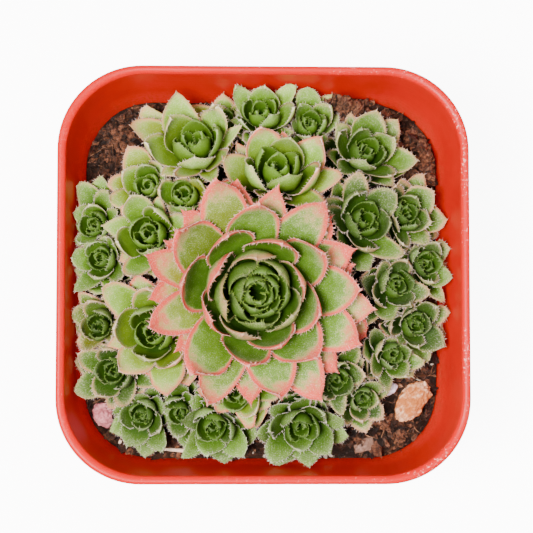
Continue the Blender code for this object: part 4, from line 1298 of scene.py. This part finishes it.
class ROSULARIA_OT_stones(bpy.types.Operator):
    """Build the three loose stones"""

    bl_idname = "rosularia.stones"
    bl_label = "Stones"

    def execute(self, context):
        settings = context.scene.rosularia_loose
        pumice = speckled_material("pumice", settings.rust, settings.pumice, 2.6 * MM, 0.22, -0.06, 0.85, 0.0006)
        pink = speckled_material("pink stone", settings.pink, (0.52, 0.20, 0.21), 1.0 * MM, 0.4, 0.0, 0.6, 0.0004)
        lilac = speckled_material("lilac stone", settings.lilac, (0.80, 0.70, 0.76), 0.9 * MM, 0.6, 0.0, 0.6, 0.0001)
        build_stone(STONES[0], 0, pumice, "pumice", ((3.2, 0.14), (8.0, 0.07), (19.0, 0.04)), 0)
        build_stone(STONES[1], 1, pink, "pink_stone", ((4.0, 0.10), (12.0, 0.04)), 2.2)
        build_stone(STONES[2], 2, lilac, "lilac_stone", ((3.0, 0.08), (10.0, 0.03)), 0)
        return {"FINISHED"}


def straw_material(settings):
    """Dry stalk: pale fibres that run along it, with darker scars."""
    material, wiring, shader = new_material("dry stalk")
    place = wiring.place()
    fibres = wiring.noise(place, 0.25 * MM, 3.0, 0.6, (14, 1, 1))
    scars = wiring.mask(wiring.noise(place, 1.6 * MM, 2.0), 0.56, 0.70)
    straw = tuple(settings.straw)
    dark = tuple(0.45 * channel for channel in straw)
    colour = wiring.mix(wiring.mask(fibres, 0.35, 0.65), tuple(0.75 * c for c in straw), straw)
    colour = wiring.mix(wiring.times(scars, 0.7), colour, dark)
    finish(wiring, shader, colour, 0.75, fibres, 0.0001)
    return material


class ROSULARIA_OT_litter(bpy.types.Operator):
    """Build the dry stalk and the chip of bark"""

    bl_idname = "rosularia.litter"
    bl_label = "Stalk and bark"

    def execute(self, context):
        settings = context.scene.rosularia_loose
        self.build_stalk(straw_material(settings))
        pale = (0.34, 0.20, 0.16)
        bark = speckled_material("bark", settings.bark, pale, 1.5 * MM, 0.3, -0.07, 0.85, 0.0003)
        self.build_chip(bark)
        return {"FINISHED"}

    def build_stalk(self, material):
        (x0, y0), (x1, y1) = STALK_ENDS
        steps, sides = 60, 12
        part = np.linspace(0, 1, steps)
        x = x0 + (x1 - x0) * part
        y = y0 + (y1 - y0) * part - 0.5 * MM * np.sin(np.pi * part)
        z = np.array([mound(a, b) for a, b in zip(x, y)]) + STALK_DIAMETER * 0.3
        knots = 1 + 0.25 * np.exp(-(((part - 0.32) / 0.015) ** 2)) + 0.3 * np.exp(-(((part - 0.74) / 0.012) ** 2))
        thickness = STALK_DIAMETER / 2 * knots * (0.85 + 0.15 * np.cos(7 * part)) * np.minimum(1, 12 * (1.01 - part))
        angle = 2 * np.pi * np.arange(sides) / sides
        ridge = 1 + 0.10 * np.cos(3 * angle)
        loops = [
            np.column_stack(
                (np.full(sides, x[i]), y[i] + thickness[i] * ridge * np.cos(angle), z[i] + thickness[i] * ridge * np.sin(angle))
            )
            for i in range(steps)
        ]
        pile = Pile()
        pile.add(np.vstack(loops), skin(loops))
        keep(pile.to_object("straw_stalk", material), "straw", "dry_stalk")

    def build_chip(self, material):
        bm = bmesh.new()
        bmesh.ops.create_cube(bm, size=1.0)
        bmesh.ops.subdivide_edges(bm, edges=bm.edges, cuts=14, use_grid_fill=True)
        x, y = CHIP_PLACE
        turned = Matrix.Translation((x, y, mound(x, y) + 0.25 * CHIP_SIZE[2])) @ Matrix.Rotation(CHIP_TURN, 4, "Z")
        for vertex in bm.verts:
            edge = max(abs(vertex.co.x), abs(vertex.co.y)) * 2
            point = Vector([vertex.co[axis] * CHIP_SIZE[axis] for axis in range(3)])
            rough = noise.noise(point / (0.9 * MM)) + 0.5 * noise.noise(point / (0.35 * MM))
            point.x *= 1 + 0.06 * rough
            point.y *= 1 + 0.10 * rough
            point.z = point.z * (1.1 - 0.35 * edge**4) + 0.12 * MM * rough
            vertex.co = turned @ point
        mesh = bpy.data.meshes.new("bark_flake")
        bm.to_mesh(mesh)
        bm.free()
        mesh.shade_smooth()
        mesh.materials.append(material)
        chip = bpy.data.objects.new("bark_flake", mesh)
        bpy.context.scene.collection.objects.link(chip)
        keep(chip, "bark", "bark_chip")


def add_light(name, place, aim, size, power, colour=(1.0, 1.0, 1.0)):
    lamp = bpy.data.lights.new(name, "AREA")
    lamp.shape = "SQUARE"
    lamp.size = size
    lamp.energy = power
    lamp.color = colour
    light = bpy.data.objects.new(name, lamp)
    light.location = place
    light.rotation_euler = (Vector(aim) - Vector(place)).to_track_quat("-Z", "Y").to_euler()
    bpy.context.scene.collection.objects.link(light)


class ROSULARIA_OT_stage(bpy.types.Operator):
    """Build the floor, the lights, the sky and the camera"""

    bl_idname = "rosularia.stage"
    bl_label = "Stage"

    def execute(self, context):
        settings = context.scene.rosularia_stage
        half = settings.floor_size / 2
        pile = Pile()
        pile.add([(-half, -half, 0), (half, -half, 0), (half, half, 0), (-half, half, 0)], [(0, 1, 2, 3)])
        material, wiring, shader = new_material("pale floor")
        grain = wiring.noise(wiring.place(), 40 * MM, 2.0)
        colour = wiring.mix(grain, tuple(0.98 * c for c in settings.floor), tuple(settings.floor))
        finish(wiring, shader, colour, 0.8)
        shader.inputs["Emission Color"].default_value = (1.0, 1.0, 1.0, 1.0)
        seen = wiring.node("ShaderNodeLightPath").outputs["Is Camera Ray"]
        wiring.put(shader.inputs["Emission Strength"], wiring.times(seen, settings.glow))
        pile.to_object("floor", material)

        aim = (0.0, 0.0, 0.07)
        add_light("key", (-0.24, -0.12, 0.94), aim, 0.26, settings.key_power, (1.0, 0.98, 0.95))
        add_light("fill", (0.42, 0.10, 0.90), aim, 0.9, settings.fill_power)

        world = bpy.data.worlds.new("studio")
        world.use_nodes = True
        background = world.node_tree.nodes["Background"]
        background.inputs["Color"].default_value = (1.0, 1.0, 1.0, 1.0)
        background.inputs["Strength"].default_value = settings.sky
        context.scene.world = world

        lens = bpy.data.cameras.new("camera")
        lens.lens = CAMERA_LENS
        lens.sensor_width = SENSOR_WIDTH
        lens.clip_start = 0.01
        camera = bpy.data.objects.new("camera", lens)
        camera.location = CAMERA_PLACE
        forward = (Vector(CAMERA_AIM) - Vector(CAMERA_PLACE)).normalized()
        right = forward.cross(Vector((0.0, 1.0, 0.0))).normalized()
        turned = Matrix((right, right.cross(forward), -forward)).transposed()
        camera.rotation_euler = turned.to_euler()
        context.scene.collection.objects.link(camera)
        context.scene.camera = camera
        return {"FINISHED"}


class ROSULARIA_PT_panel(bpy.types.Panel):
    """Lists the steps that build the potted rosularia"""

    bl_label = "Potted rosularia"
    bl_idname = "ROSULARIA_PT_panel"
    bl_space_type = "VIEW_3D"
    bl_region_type = "UI"
    bl_category = "Rosularia"

    def draw(self, context):
        for operator in OPERATORS:
            self.layout.operator(operator.bl_idname)
        for owner in SETTINGS:
            settings = getattr(context.scene, owner)
            box = self.layout.box()
            for name in settings.__annotations__:
                box.prop(settings, name)


OPERATORS = (
    ROSULARIA_OT_pot,
    ROSULARIA_OT_soil,
    ROSULARIA_OT_large_rosette,
    ROSULARIA_OT_offsets,
    ROSULARIA_OT_stones,
    ROSULARIA_OT_litter,
    ROSULARIA_OT_stage,
)
SETTINGS = {
    "rosularia_pot": PotSettings,
    "rosularia_soil": SoilSettings,
    "rosularia_leaves": LeafSettings,
    "rosularia_loose": LooseSettings,
    "rosularia_stage": StageSettings,
}


def register():
    for group in SETTINGS.values():
        bpy.utils.register_class(group)
    for owner, group in SETTINGS.items():
        setattr(bpy.types.Scene, owner, PointerProperty(type=group))
    for operator in OPERATORS:
        bpy.utils.register_class(operator)
    bpy.utils.register_class(ROSULARIA_PT_panel)


def unregister():
    bpy.utils.unregister_class(ROSULARIA_PT_panel)
    for operator in reversed(OPERATORS):
        bpy.utils.unregister_class(operator)
    for owner, group in SETTINGS.items():
        delattr(bpy.types.Scene, owner)
        bpy.utils.unregister_class(group)


def main():
    register()
    bpy.ops.rosularia.pot()
    bpy.ops.rosularia.soil()
    bpy.ops.rosularia.large_rosette()
    bpy.ops.rosularia.offsets()
    bpy.ops.rosularia.stones()
    bpy.ops.rosularia.litter()
    bpy.ops.rosularia.stage()


if __name__ == "__main__":
    main()
